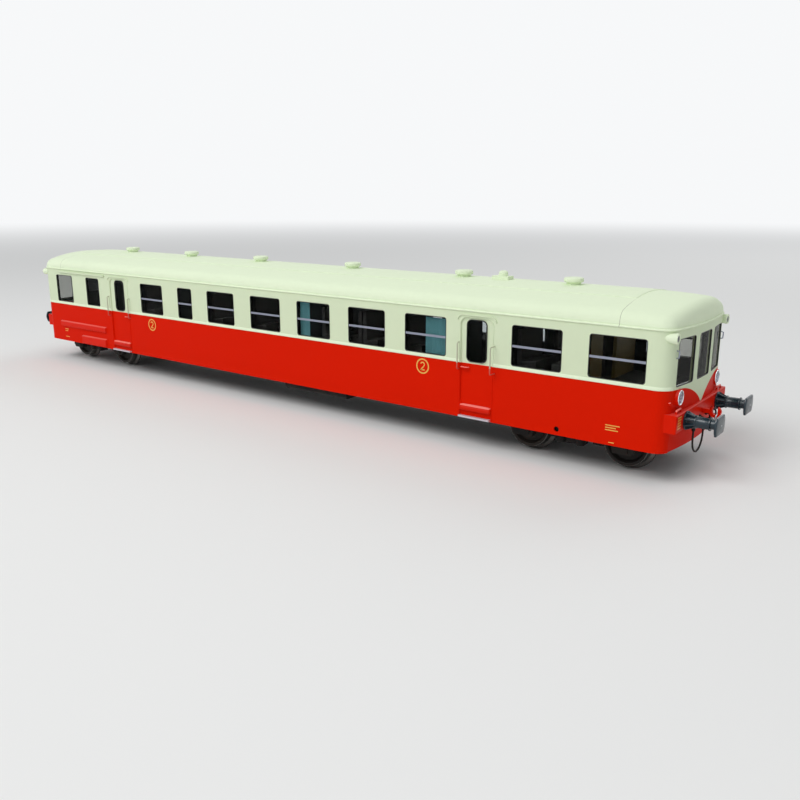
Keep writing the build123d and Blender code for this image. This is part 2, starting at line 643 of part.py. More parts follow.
with BuildPart() as tanks:
    for drawn_x, side_sign in AIR_TANKS:
        x = placed(drawn_x)
        y = side_sign * (HALF_WIDTH - GEAR_FROM_WALL - GEAR_BOX_WIDTH / 2)
        tank_z = CHASSIS_LOW_Z - AIR_TANK_DROP
        with BuildSketch(Plane.YZ.offset(x - AIR_TANK_LENGTH / 2)):
            with Locations((y, tank_z)):
                Circle(AIR_TANK_RADIUS)
        extrude(amount=AIR_TANK_LENGTH)
        for offset in (-AIR_TANK_LENGTH / 4, AIR_TANK_LENGTH / 4):
            with Locations((x + offset, y, (tank_z + CHASSIS_LOW_Z) / 2)):
                Box(
                    TANK_STRAP_WIDTH,
                    2 * (AIR_TANK_RADIUS + TANK_STRAP_PROUD),
                    CHASSIS_LOW_Z - tank_z,
                )
save(tanks.part, "air_tanks")

# Buffer beams: square boxes that stand proud of the bowed ends and follow them behind
with BuildPart() as beams:
    for end, sign in ENDS:
        with Locations((sign * (BEAM_BACK_X + BEAM_FRONT_X) / 2, 0, (BEAM_LOW_Z + BEAM_HIGH_Z) / 2)):
            Box(BEAM_FRONT_X - BEAM_BACK_X, 2 * BEAM_HALF_WIDTH, BEAM_HIGH_Z - BEAM_LOW_Z)
    fillet(beams.edges().filter_by(lambda e: abs(e.center().X) > BEAM_FRONT_X - FIT), BEAM_EDGE)
    with BuildSketch(Plane.XY.offset(BEAM_LOW_Z)):
        add(plan_face())
    extrude(amount=BEAM_HIGH_Z - BEAM_LOW_Z, mode=Mode.SUBTRACT)
save(beams.part, "buffer_beams")

# Buffers: ribbed base and collared sleeve on the beam, then the plunger and the truncated round head
BASE_END_X = BEAM_FRONT_X + BUFFER_BASE_LENGTH
SLEEVE_END_X = BASE_END_X + BUFFER_SLEEVE_LENGTH + 2 * BUFFER_COLLAR_WIDTH
HEAD_BACK_X = BUFFER_FACE_X - BUFFER_HEAD_THICKNESS
PLATE_FRONT_X = BEAM_FRONT_X + BUFFER_PLATE_THICKNESS
with BuildPart() as stock:
    with BuildSketch(Plane.XZ):
        with BuildLine():
            Polyline(
                (BEAM_FRONT_X, 0),
                (BEAM_FRONT_X, BUFFER_PLATE_RADIUS),
                (PLATE_FRONT_X, BUFFER_PLATE_RADIUS),
                (PLATE_FRONT_X, BUFFER_CORE_RADIUS),
                (BASE_END_X, BUFFER_CORE_RADIUS),
                (BASE_END_X, BUFFER_COLLAR_RADIUS),
                (BASE_END_X + BUFFER_COLLAR_WIDTH, BUFFER_COLLAR_RADIUS),
                (BASE_END_X + BUFFER_COLLAR_WIDTH, BUFFER_SLEEVE_RADIUS),
                (SLEEVE_END_X - BUFFER_COLLAR_WIDTH, BUFFER_SLEEVE_RADIUS),
                (SLEEVE_END_X - BUFFER_COLLAR_WIDTH, BUFFER_COLLAR_RADIUS),
                (SLEEVE_END_X, BUFFER_COLLAR_RADIUS),
                (SLEEVE_END_X, 0),
                close=True,
            )
        make_face()
    revolve(axis=Axis.X)
    with BuildPart(mode=Mode.PRIVATE) as rib:
        with BuildSketch(Plane.XZ):
            Polygon(
                (PLATE_FRONT_X - FIT, 0),
                (PLATE_FRONT_X - FIT, BUFFER_PLATE_RADIUS),
                (BASE_END_X, BUFFER_SLEEVE_RADIUS),
                (BASE_END_X, 0),
                align=None,
            )
        extrude(amount=BUFFER_RIB_THICKNESS / 2, both=True)
    for number in range(BUFFER_RIB_COUNT):
        add(rib.part.rotate(Axis.X, 360 * (number + 0.5) / BUFFER_RIB_COUNT))
with BuildPart() as head:
    with BuildSketch(Plane.YZ.offset(HEAD_BACK_X)):
        Circle(BUFFER_HEAD_DIAMETER / 2)
        Rectangle(BUFFER_HEAD_DIAMETER, BUFFER_HEAD_HEIGHT, mode=Mode.INTERSECT)
    extrude(amount=BUFFER_HEAD_THICKNESS)
    with BuildSketch(Plane.YZ.offset(SLEEVE_END_X)):
        Circle(BUFFER_PLUNGER_RADIUS)
    extrude(amount=HEAD_BACK_X - SLEEVE_END_X)


def at_buffers(part):
    """Four copies of a front buffer piece: both sides of both ends."""
    with BuildPart() as four:
        for end, sign in ENDS:
            turn = 0 if sign > 0 else 180
            for y in (-BUFFER_Y, BUFFER_Y):
                with Locations(Location((0, y, BUFFER_Z), (0, 0, turn))):
                    add(part)
    return four.part


save(at_buffers(stock.part), "buffer_stocks")
save(at_buffers(head.part), "buffer_heads")

# Coupling hooks in the middle of each beam: a shank and an open hook
HOOK_THICKNESS = 0.8
HOOK_REACH = 2.7
HOOK_SHANK_HEIGHT = 0.9
HOOK_RADIUS = 1.2
HOOK_EYE_RADIUS = 0.55
HOOK_X = BEAM_FRONT_X + HOOK_REACH
with BuildPart() as hooks:
    for end, sign in ENDS:
        with BuildSketch(Plane.XZ.offset(-HOOK_THICKNESS / 2)):
            with Locations((sign * (BEAM_FRONT_X + HOOK_X) / 2, BUFFER_Z)):
                Rectangle(HOOK_X - BEAM_FRONT_X, HOOK_SHANK_HEIGHT)
            with Locations((sign * HOOK_X, BUFFER_Z)):
                Circle(HOOK_RADIUS)
                Circle(HOOK_EYE_RADIUS, mode=Mode.SUBTRACT)
            with Locations((sign * HOOK_X, BUFFER_Z + HOOK_RADIUS)):
                Rectangle(2 * HOOK_EYE_RADIUS, 2 * HOOK_RADIUS, mode=Mode.SUBTRACT)
        extrude(amount=HOOK_THICKNESS)
save(hooks.part, "coupling_hooks")

# Brake hoses: stiff moulded loops that hang from the beams
HOSE_RADIUS = 0.3
HOSE_REACH = 1.0
HOSE_BEND = 0.5
HOSE_X = BEAM_FRONT_X + HOSE_REACH
# name, y of the first leg, y of the second leg, lowest z
HOSES = [("brake_pipe", -8.0, -1.6, 5.6), ("heating_pipe", 2.4, 6.4, 8.6)]
HOSE_TOP_Z = BEAM_LOW_Z + 2 * HOSE_RADIUS
with BuildPart() as hoses:
    for end, sign in ENDS:
        for name, y_first, y_second, low_z in HOSES:
            loop_radius = 0.49 * (y_second - y_first)
            x = sign * HOSE_X
            with BuildLine() as route:
                start = (sign * BEAM_FRONT_X, sign * y_first, HOSE_TOP_Z)
                FilletPolyline(
                    start,
                    (x, sign * y_first, HOSE_TOP_Z),
                    (x, sign * y_first, low_z),
                    (x, sign * y_second, low_z),
                    (x, sign * y_second, HOSE_TOP_Z),
                    (start[0], sign * y_second, HOSE_TOP_Z),
                    radius=[HOSE_BEND, loop_radius, loop_radius, HOSE_BEND],
                )
            with BuildSketch(Plane(origin=start, z_dir=(sign, 0, 0))):
                Circle(HOSE_RADIUS)
            sweep(path=route.line)
save(hoses.part, "brake_hoses")

# Headlamps: short round housings let into the ends, each with a lens in its front
HEADLAMP_FRONT_X = outline_x(HEADLAMP_Y) + HEADLAMP_PROUD
HEADLAMP_PLACES = [(-HEADLAMP_Y, HEADLAMP_Z), (HEADLAMP_Y, HEADLAMP_Z)]
with BuildPart() as headlamps:
    for end, sign in ENDS:
        with BuildSketch(Plane.YZ.offset(sign * (HEADLAMP_FRONT_X - HEADLAMP_DEPTH))):
            with Locations(*HEADLAMP_PLACES):
                Circle(HEADLAMP_RADIUS)
        extrude(amount=sign * HEADLAMP_DEPTH)
        with BuildSketch(Plane.YZ.offset(sign * HEADLAMP_FRONT_X)):
            with Locations(*HEADLAMP_PLACES):
                Circle(HEADLAMP_LENS_RADIUS)
        extrude(amount=-sign * LENS_THICKNESS, mode=Mode.SUBTRACT)
save(headlamps.part, "headlamps")

with BuildPart() as headlamp_lenses:
    for end, sign in ENDS:
        with BuildSketch(Plane.YZ.offset(sign * (HEADLAMP_FRONT_X - LENS_THICKNESS))):
            with Locations(*HEADLAMP_PLACES):
                Circle(HEADLAMP_LENS_RADIUS - FIT)
        extrude(amount=sign * LENS_THICKNESS)
save(headlamp_lenses.part, "headlamp_lenses")

# Marker lamps: small horns on the upper corners, thickest at the lens
MARKER_FRONT_X = HALF_LENGTH - MARKER_FROM_END
with BuildPart() as marker:
    with BuildSketch(Plane.XZ):
        Polygon(
            (MARKER_FRONT_X - MARKER_LENGTH, 0),
            (MARKER_FRONT_X - MARKER_LENGTH, MARKER_BACK_RADIUS),
            (MARKER_FRONT_X - 2 * LENS_THICKNESS, MARKER_RADIUS),
            (MARKER_FRONT_X, MARKER_RADIUS),
            (MARKER_FRONT_X, MARKER_LENS_RADIUS),
            (MARKER_FRONT_X - LENS_THICKNESS, MARKER_LENS_RADIUS),
            (MARKER_FRONT_X - LENS_THICKNESS, 0),
            align=None,
        )
    revolve(axis=Axis.X)
with BuildPart() as marker_lens:
    with BuildSketch(Plane.YZ.offset(MARKER_FRONT_X - LENS_THICKNESS)):
        Circle(MARKER_LENS_RADIUS - FIT)
    extrude(amount=LENS_THICKNESS)


def at_markers(part):
    """Four copies of a front marker lamp piece: both corners of both ends."""
    with BuildPart() as four:
        for end, sign in ENDS:
            turn = 0 if sign > 0 else 180
            for y in (-MARKER_Y, MARKER_Y):
                with Locations(Location((0, y, MARKER_Z), (0, 0, turn))):
                    add(part)
    return four.part


with BuildPart() as marker_lamps:
    add(at_markers(marker.part))
    with BuildSketch(Plane.XY.offset(SKIRT_Z)):
        add(plan_face())
    extrude(amount=GUTTER_Z - SKIRT_Z, mode=Mode.SUBTRACT)
    add(plan_ring(-GUTTER_PROUD, GUTTER_SEAT, GUTTER_Z, GUTTER_Z + GUTTER_HEIGHT), mode=Mode.SUBTRACT)
save(marker_lamps.part, "marker_lamps")
save(at_markers(marker_lens.part), "marker_lamp_lenses")

# Roof vents: low waisted mushrooms on the ridge, and the box with its knob
RIDGE_Z = CROWN_Z + ROOF_SHEET_RISE
with BuildPart() as vents:
    for drawn_x in VENT_X:
        x = placed(drawn_x)
        with BuildSketch(Plane(origin=(x, 0, RIDGE_Z), x_dir=(1, 0, 0), z_dir=(0, -1, 0))):
            with BuildLine():
                Polyline(
                    (0, 0),
                    (VENT_BASE_RADIUS, 0),
                    (VENT_BASE_RADIUS, VENT_HEIGHT * 0.3),
                    (VENT_TOP_RADIUS, VENT_HEIGHT * 0.55),
                    (VENT_TOP_RADIUS, VENT_HEIGHT * 0.85),
                    (VENT_TOP_RADIUS - VENT_LIP, VENT_HEIGHT),
                    (0, VENT_HEIGHT),
                    close=True,
                )
            make_face()
        revolve(axis=Axis((x, 0, 0), (0, 0, 1)))
save(vents.part, "roof_vents")

with BuildPart() as roof_box:
    box_x = placed(ROOF_BOX_X)
    with Locations((box_x, 0, RIDGE_Z + ROOF_BOX_SIZE[2] / 2)):
        Box(*ROOF_BOX_SIZE)
    with BuildSketch(Plane.XY.offset(RIDGE_Z + ROOF_BOX_SIZE[2])):
        with Locations((box_x + ROOF_KNOB_AHEAD, 0)):
            Circle(ROOF_KNOB_RADIUS)
    extrude(amount=ROOF_KNOB_HEIGHT)
    fillet(roof_box.edges().group_by(Axis.Z)[-1], ROOF_KNOB_EDGE)
save(roof_box.part, "roof_box")

# Handrails and steps beside the passenger doors
with BuildPart() as handrails:
    for side, sign in SIDES:
        for drawn_x, leaf, rails in DOORS:
            for edge, gap, stand_off in rails:
                x = placed(drawn_x) + edge * (leaf / 2 + gap)
                wall_y = sign * HALF_WIDTH
                rail_y = sign * (HALF_WIDTH + stand_off)
                with BuildLine() as route:
                    FilletPolyline(
                        (x, wall_y, RAIL_LOW_Z),
                        (x, rail_y, RAIL_LOW_Z),
                        (x, rail_y, RAIL_HIGH_Z),
                        (x, wall_y, RAIL_HIGH_Z),
                        radius=RAIL_BEND,
                    )
                with BuildSketch(Plane(origin=(x, wall_y, RAIL_LOW_Z), z_dir=(0, sign, 0))):
                    Circle(RAIL_RADIUS)
                sweep(path=route.line)
save(handrails.part, "handrails")

with BuildPart() as steps:
    for side, sign in SIDES:
        for drawn_x, leaf, rails in DOORS:
            middle_y = sign * (HALF_WIDTH + STEP_DEPTH / 2)
            with Locations((placed(drawn_x), middle_y, STEP_Z + STEP_THICKNESS / 2)):
                Box(leaf, STEP_DEPTH, STEP_THICKNESS)
save(steps.part, "door_steps")

# Bogies: side frames with axleboxes, joined by the bolster that turns on the post
AXLE_X = BOGIE_WHEELBASE / 2
SIDE_FRAME_OUT_Y = SIDE_FRAME_IN_Y + SIDE_FRAME_THICKNESS
BORE_DEPTH = AXLE_HALF_LENGTH + 0.2 - SIDE_FRAME_IN_Y
END_X = AXLE_X + SIDE_FRAME_OVERHANG


def frame_plane(centre_x, side_sign, y):
    """A plane beside one bogie whose drawing axes are X and Z and whose normal points outwards."""
    return Plane(
        origin=(centre_x, side_sign * y, 0),
        x_dir=(-side_sign, 0, 0),
        z_dir=(0, side_sign, 0),
    )


def bogie_frame(centre_x):
    """One bogie frame about its own centre: two side frames with axleboxes and springs, and the bolster."""
    box = AXLEBOX_HALF_WIDTH
    arch = SIDE_FRAME_MIDDLE_Z
    low = SIDE_FRAME_LOW_Z
    half_outline = [
        (END_X - SIDE_FRAME_SHOULDER, SIDE_FRAME_TOP_Z),
        (END_X, SIDE_FRAME_END_Z),
        (END_X, low + SIDE_FRAME_FOOT),
        (AXLE_X + box, low),
        (AXLE_X - box, low),
        (AXLE_X - box - SIDE_FRAME_SLOPE, arch),
        (SPRING_X + 2 * SPRING_RADIUS, arch),
        (SPRING_X + SPRING_RADIUS, SPRING_LOW_Z),
    ]
    outline = half_outline + [(-x, z) for x, z in reversed(half_outline)]
    with BuildPart() as frame:
        for sign in (-1, 1):
            with BuildSketch(frame_plane(centre_x, sign, SIDE_FRAME_IN_Y)):
                with BuildLine():
                    Polyline(*outline, close=True)
                make_face()
            extrude(amount=SIDE_FRAME_THICKNESS)
            with BuildSketch(frame_plane(centre_x, sign, SIDE_FRAME_OUT_Y)):
                with Locations((-AXLE_X, AXLE_Z), (AXLE_X, AXLE_Z)):
                    Rectangle(AXLEBOX_COVER_SIZE, AXLEBOX_COVER_SIZE)
            extrude(amount=AXLEBOX_COVER_PROUD, taper=AXLEBOX_TAPER)
            with BuildSketch(frame_plane(centre_x, sign, SIDE_FRAME_OUT_Y + AXLEBOX_COVER_PROUD)):
                with Locations((-AXLE_X, AXLE_Z), (AXLE_X, AXLE_Z)):
                    Circle(AXLEBOX_CAP_RADIUS)
            extrude(amount=AXLEBOX_COVER_PROUD / 2)
            for spring_x in (-SPRING_X, SPRING_X):
                spring_y = sign * SIDE_FRAME_OUT_Y
                with BuildSketch(Plane.XY.offset(SPRING_LOW_Z)):
                    with Locations((centre_x + spring_x, spring_y)):
                        Circle(SPRING_RADIUS)
                extrude(amount=SIDE_FRAME_TOP_Z - SPRING_LOW_Z)
            with BuildSketch(frame_plane(centre_x, sign, SIDE_FRAME_IN_Y)):
                with Locations((-AXLE_X, AXLE_Z), (AXLE_X, AXLE_Z)):
                    Circle(JOURNAL_RADIUS + RUNNING_CLEARANCE)
            extrude(amount=BORE_DEPTH, mode=Mode.SUBTRACT)
        with Locations((centre_x, 0, (BOLSTER_LOW_Z + BOLSTER_TOP_Z) / 2)):
            bolster_width = 2 * (SIDE_FRAME_IN_Y + SIDE_FRAME_THICKNESS / 2)
            Box(2 * BOLSTER_HALF_LENGTH, bolster_width, BOLSTER_TOP_Z - BOLSTER_LOW_Z)
        with BuildSketch(Plane.XY.offset(BOLSTER_LOW_Z)):
            with Locations((centre_x, 0)):
                Circle(PIVOT_POST_RADIUS + RUNNING_CLEARANCE)
        extrude(amount=BOLSTER_TOP_Z - BOLSTER_LOW_Z, mode=Mode.SUBTRACT)
    return frame.part


BRAKE_SHOE_GAP = 0.3
BRAKE_SHOE_WIDTH = 1.5
BRAKE_SHOE_Y = 9.0
BRAKE_SHOE_SIZE = 3.2
BRAKE_BEAM_HEIGHT = 0.8
BRAKE_BEAM_THICKNESS = 0.9
BRAKE_BEAM_Z = 5.4


def brake_gear(centre_x):
    """Brake shoes that hang from the bolster and curve round the treads, tied by a cross beam each."""
    shoe_x = AXLE_X - TREAD_RADIUS - BRAKE_SHOE_GAP - BRAKE_SHOE_SIZE / 2 + SPRING_RADIUS
    beam_x = shoe_x - BRAKE_SHOE_SIZE / 2 + BRAKE_BEAM_THICKNESS / 2
    with BuildPart() as gear:
        for end_sign in (-1, 1):
            for side_sign in (-1, 1):
                with Locations((centre_x + end_sign * shoe_x, side_sign * BRAKE_SHOE_Y, AXLE_Z)):
                    Box(BRAKE_SHOE_SIZE, BRAKE_SHOE_WIDTH, BRAKE_SHOE_SIZE)
            with Locations((centre_x + end_sign * beam_x, 0, BRAKE_BEAM_Z)):
                Box(BRAKE_BEAM_THICKNESS, 2 * BRAKE_SHOE_Y, BRAKE_BEAM_HEIGHT)
            with BuildSketch(Plane.XZ.offset(-SIDE_FRAME_OUT_Y)):
                with Locations((centre_x + end_sign * AXLE_X, AXLE_Z)):
                    Circle(TREAD_RADIUS + BRAKE_SHOE_GAP)
            extrude(amount=2 * SIDE_FRAME_OUT_Y, mode=Mode.SUBTRACT)
    return gear.part


def wheel_profile():
    """Half section of one wheel: distance from the vehicle's middle, radius."""
    inner = BACK_TO_BACK / 2
    outer = inner + WHEEL_WIDTH
    return [
        (inner, AXLE_RADIUS), (inner, 1.8), (inner + 0.7, 2.0), (inner + 0.7, 3.9),
        (inner, 4.2), (inner, FLANGE_RADIUS - 0.3), (inner + 0.3, FLANGE_RADIUS),
        (inner + FLANGE_WIDTH - 0.2, FLANGE_RADIUS - 0.3), (inner + FLANGE_WIDTH, TREAD_RADIUS),
        (outer, TREAD_RADIUS - 0.1), (outer, 4.2), (outer - 1.0, 3.9),
        (outer - 1.0, 2.0), (outer - 0.2, 1.8), (outer - 0.2, AXLE_RADIUS),
    ]


for end, sign in ENDS:
    centre_x = sign * BOGIE_CENTRE_X
    save(bogie_frame(centre_x), f"bogie_frame_{end}")
    save(brake_gear(centre_x), f"brake_gear_{end}")

AXLE_XS = [
    BOGIE_CENTRE_X + AXLE_X, BOGIE_CENTRE_X - AXLE_X,
    -BOGIE_CENTRE_X + AXLE_X, -BOGIE_CENTRE_X - AXLE_X,
]
for number, x in enumerate(AXLE_XS, start=1):
    axis = Axis((x, 0, AXLE_Z), (0, 1, 0))
    with BuildPart() as axle:
        with BuildSketch(Plane(origin=(x, 0, AXLE_Z), x_dir=(0, 1, 0), z_dir=(1, 0, 0))):
            with BuildLine():
                shoulder = SIDE_FRAME_IN_Y - 0.3
                Polyline(
                    (-AXLE_HALF_LENGTH, 0), (-AXLE_HALF_LENGTH + 0.4, JOURNAL_RADIUS),
                    (-shoulder, JOURNAL_RADIUS), (-shoulder, AXLE_RADIUS),
                    (shoulder, AXLE_RADIUS), (shoulder, JOURNAL_RADIUS),
                    (AXLE_HALF_LENGTH - 0.4, JOURNAL_RADIUS), (AXLE_HALF_LENGTH, 0),
                    close=True,
                )
            make_face()
        revolve(axis=axis)
    save(axle.part, f"axle_{number}")
    with BuildPart() as wheels:
        for side_sign in (-1, 1):
            with BuildSketch(Plane(origin=(x, 0, AXLE_Z), x_dir=(0, 1, 0), z_dir=(1, 0, 0))):
                with BuildLine():
                    Polyline(*[(side_sign * y, radius) for y, radius in wheel_profile()], close=True)
                make_face()
            revolve(axis=axis)
    save(wheels.part, f"wheels_{number}")
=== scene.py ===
# %% [markdown]
# A scale model railcar trailer, dressed surface by surface.
#
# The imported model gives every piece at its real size. This script gives them their finish, and it
# replaces the pieces whose roundness matters, such as the roof and the bowed ends, by surfaces that
# are worked out as arrays. Sizes are in millimetres until a mesh is made, because that is how a model
# maker thinks of them, and the frame is in metres.

# %% Load the frame
import bmesh
import bpy
import math
import numpy as np
from functools import partial
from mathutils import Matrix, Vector
from mathutils.geometry import delaunay_2d_cdt


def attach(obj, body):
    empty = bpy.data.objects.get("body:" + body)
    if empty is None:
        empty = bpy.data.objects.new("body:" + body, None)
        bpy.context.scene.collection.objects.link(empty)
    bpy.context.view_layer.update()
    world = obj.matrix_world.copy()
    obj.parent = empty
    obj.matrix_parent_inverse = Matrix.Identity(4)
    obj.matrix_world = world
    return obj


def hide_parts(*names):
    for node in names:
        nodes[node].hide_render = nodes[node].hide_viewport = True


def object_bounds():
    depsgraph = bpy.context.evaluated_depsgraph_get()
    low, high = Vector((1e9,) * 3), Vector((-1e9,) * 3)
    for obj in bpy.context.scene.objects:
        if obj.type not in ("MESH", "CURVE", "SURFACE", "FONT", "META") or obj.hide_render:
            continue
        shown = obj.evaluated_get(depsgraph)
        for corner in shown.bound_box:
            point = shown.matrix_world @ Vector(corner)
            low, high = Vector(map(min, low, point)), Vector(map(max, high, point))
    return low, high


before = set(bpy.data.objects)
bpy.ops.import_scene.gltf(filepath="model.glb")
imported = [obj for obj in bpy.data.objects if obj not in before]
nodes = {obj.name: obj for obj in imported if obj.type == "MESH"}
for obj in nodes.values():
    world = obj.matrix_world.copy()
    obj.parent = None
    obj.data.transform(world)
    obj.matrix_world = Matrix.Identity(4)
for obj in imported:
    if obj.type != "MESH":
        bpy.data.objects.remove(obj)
cad_box = [list(corner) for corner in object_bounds()]
MM = 0.001
link = bpy.context.scene.collection.objects.link
print("CAD box in mm", [[round(v / MM, 2) for v in corner] for corner in cad_box])

# %% [markdown]
# The camera stands where the photograph was taken from. Its place, its two angles and its focal
# length were worked out from the rails, the buffers and the straight edges of the body, so the
# render can be laid over the picture. A camera looks along its own -Z, so tipping it up by a quarter
# turn plus the pitch and then turning it by the yaw points it at the model.

# %% Camera
PHOTO_PIXELS = 800
FOCAL_PIXELS = 818.66
SENSOR_MM = 36.0
CAMERA_PLACE = (161.89, -169.88, 57.82)
CAMERA_YAW = 0.65081
CAMERA_PITCH = -0.25158

camera_data = bpy.data.cameras.new("photo_camera")
camera_data.sensor_width = SENSOR_MM
camera_data.lens = FOCAL_PIXELS / PHOTO_PIXELS * SENSOR_MM
camera_data.clip_start = 0.01
camera = bpy.data.objects.new("photo_camera", camera_data)
camera.location = [v * MM for v in CAMERA_PLACE]
camera.rotation_euler = (math.pi / 2 + CAMERA_PITCH, 0.0, CAMERA_YAW)
link(camera)
bpy.context.scene.camera = camera
bpy.context.scene.view_settings.view_transform = "Standard"
print("lens in mm", round(camera_data.lens, 2))

# %% [markdown]
# Sky, table and every finish are small trees of shader nodes. One helper makes a node, sets its
# inputs by name, and joins a socket where it is given one in place of a number. Colours are given as
# red, green and blue.

# %% Node helpers
finishes = {}


def join(tree, socket, value):
    """Link a socket to another one, or set its plain value."""
    if isinstance(value, bpy.types.NodeSocket):
        tree.links.new(value, socket)
    else:
        socket.default_value = (*value, 1.0) if isinstance(value, tuple) else value


def put(tree, kind, settings=None, **inputs):
    """Add a node. settings are its properties. inputs are its sockets by name, or i0, i1 by number."""
    made = tree.nodes.new("ShaderNode" + kind)
    for key, value in (settings or {}).items():
        setattr(made, key, value)
    for key, value in inputs.items():
        numbered = key[0] == "i" and key[1:].isdigit()
        join(tree, made.inputs[int(key[1:]) if numbered else key.replace("_", " ")], value)
    return made


def maths(tree, operation, first, second=0.0, third=0.0, clamp=False):
    """One Math node's result."""
    settings = {"operation": operation, "use_clamp": clamp}
    return put(tree, "Math", settings, i0=first, i1=second, i2=third).outputs[0]


def ramp(tree, value, low, high):
    """0 below low, 1 above high, smooth between."""
    smooth = {"interpolation_type": "SMOOTHSTEP"}
    return put(tree, "MapRange", smooth, Value=value, From_Min=low, From_Max=high).outputs[0]


def mix_colour(tree, factor, first, second):
    """A colour between two, by factor."""
    return put(tree, "Mix", {"data_type": "RGBA"}, i0=factor, i6=first, i7=second).outputs[2]


def place(tree):
    """The point in object coordinates, in metres."""
    return put(tree, "TexCoord").outputs["Object"]


def place_mm(tree):
    """The point's x, y and z on the model, in millimetres."""
    split = put(tree, "SeparateXYZ", Vector=place(tree)).outputs
    return [maths(tree, "MULTIPLY", axis, 1 / MM) for axis in split]


def noise(tree, scale, detail):
    """Cloudy noise over the model."""
    return put(tree, "TexNoise", Vector=place(tree), Scale=scale, Detail=detail).outputs[0]


def wave(tree, direction, scale):
    """Even stripes over the model."""
    bands = {"bands_direction": direction}
    return put(tree, "TexWave", bands, Vector=place(tree), Scale=scale).outputs["Fac"]


def start_finish(name, **fixed):
    """A new finish's tree and shader. fixed are the shader's plain values by socket name."""
    finishes[name] = bpy.data.materials.new(name)
    finishes[name].use_nodes = True
    tree = finishes[name].node_tree
    shader = tree.nodes["Principled BSDF"]
    for key, value in fixed.items():
        join(tree, shader.inputs[key.replace("_", " ")], value)
    return tree, shader

# %% [markdown]
# A studio for a model is a pale table under an even sky, with three big soft lamps: the key lamp
# lights the side, a weak one the end and the roof, and one behind lifts the far edge. The sky that
# the camera and the glossy surfaces see is nearly white, while the sky that lights the model is
# weaker: Light Path tells one from the other. The table fades into the seen sky with distance, and
# it is clear from below, so that the underside can be looked at.

# %% Table, sky and lamps
SKY_SEEN = (0.93, 0.94, 0.95)
SKY_LIGHT = (0.96, 0.98, 1.0)
SKY_STRENGTH = 0.405
TABLE_COLOUR = (0.86, 0.86, 0.85)
TABLE_HALF = 6000.0
FADE_FROM = 250.0
FADE_TO = 1500.0
NO_COLOUR = (0.0, 0.0, 0.0)

world = bpy.data.worlds.new("studio_sky")
bpy.context.scene.world = world
world.use_nodes = True
sky = world.node_tree
sky.nodes.clear()
ray = put(sky, "LightPath").outputs
seen = maths(sky, "MAXIMUM", ray["Is Camera Ray"], ray["Is Glossy Ray"])
seen = maths(sky, "MAXIMUM", seen, ray["Is Transmission Ray"])
lighting = put(sky, "Background", Color=SKY_LIGHT, Strength=SKY_STRENGTH).outputs[0]
backdrop = put(sky, "Background", Color=SKY_SEEN).outputs[0]
put(sky, "OutputWorld", Surface=put(sky, "MixShader", i0=seen, i1=lighting, i2=backdrop).outputs[0])

# name, place in mm, aim in mm, size in mm, watts
LAMPS = [
    ("key_lamp", (-90, -560, 620), (0, 0, 15), 520, 3.65),
    ("end_lamp", (330, -140, 840), (100, 0, 30), 420, 0.5),
    ("back_lamp", (120, 620, 520), (0, 0, 20), 520, 1.0),
]
for name, stand, aim, size, watts in LAMPS:
    light = bpy.data.lights.new(name, "AREA")
    light.shape = "DISK"
    light.size = size * MM
    light.energy = watts
    lamp = bpy.data.objects.new(name, light)
    lamp.location = [v * MM for v in stand]
    away = np.array(stand, float) - np.array(aim, float)
    lean = math.atan2(math.hypot(away[0], away[1]), away[2])
    lamp.rotation_euler = (lean, 0.0, math.atan2(away[0], -away[1]))
    link(lamp)

tree, shader = start_finish("table", Roughness=0.85, Specular_IOR_Level=0.0, Emission_Strength=1.0)
far_off = put(tree, "VectorMath", {"operation": "LENGTH"}, i0=place(tree)).outputs["Value"]
fade = ramp(tree, far_off, FADE_FROM * MM, FADE_TO * MM)
join(tree, shader.inputs["Base Color"], mix_colour(tree, fade, TABLE_COLOUR, NO_COLOUR))
join(tree, shader.inputs["Emission Color"], mix_colour(tree, fade, NO_COLOUR, SKY_SEEN))
below = put(tree, "NewGeometry").outputs["Backfacing"]
clear = put(tree, "BsdfTransparent").outputs[0]
surface = put(tree, "MixShader", i0=below, i1=shader.outputs[0], i2=clear).outputs[0]
join(tree, tree.nodes["Material Output"].inputs["Surface"], surface)

table_mesh = bpy.data.meshes.new("table")
corners = [(x * TABLE_HALF * MM, y * TABLE_HALF * MM, 0.0) for x, y in ((-1, -1), (1, -1), (1, 1), (-1, 1))]
table_mesh.from_pydata(corners, [], [(0, 1, 2, 3)])
table_mesh.materials.append(finishes["table"])
table = bpy.data.objects.new("table", table_mesh)
link(table)
print("studio ready, lamps:", len(LAMPS))

# %% [markdown]
# An effect that several finishes share is a node group. It takes in colours and numbers, and it
# gives out a colour, a mask, a value or a normal. The shader itself stays in the finish.

# %% Group helpers
def new_group(name, inputs, outputs):
    """A node group, from its inputs with their default values and its outputs with their kinds."""
    tree = bpy.data.node_groups.new(name, "ShaderNodeTree")
    for key, default in inputs.items():
        kind = "NodeSocketColor" if isinstance(default, tuple) else "NodeSocketFloat"
        join(tree, tree.interface.new_socket(key, in_out="INPUT", socket_type=kind), default)
    for key, kind in outputs.items():
        tree.interface.new_socket(key, in_out="OUTPUT", socket_type="NodeSocket" + kind)
    return tree, tree.nodes.new("NodeGroupInput").outputs, tree.nodes.new("NodeGroupOutput").inputs


def close_group(tree, ends, **results):
    """Link the results to the group's outputs."""
    for key, value in results.items():
        join(tree, ends[key], value)
    print("group", tree.name, "with", len(tree.nodes), "nodes")


def use_group(tree, group, **inputs):
    """Put a group into a tree, and give its outputs."""
    return put(tree, "Group", {"node_tree": group}, **inputs).outputs

# %% [markdown]
# Moulded and sprayed plastic is never one flat colour. Spray leaves a very fine orange peel, the
# pigment drifts a little from place to place, and the gloss drifts with it. The spray_skin group
# makes all three from noise in object coordinates, which are in metres, so a scale of 2600 has a
# grain of about 0.4 mm.

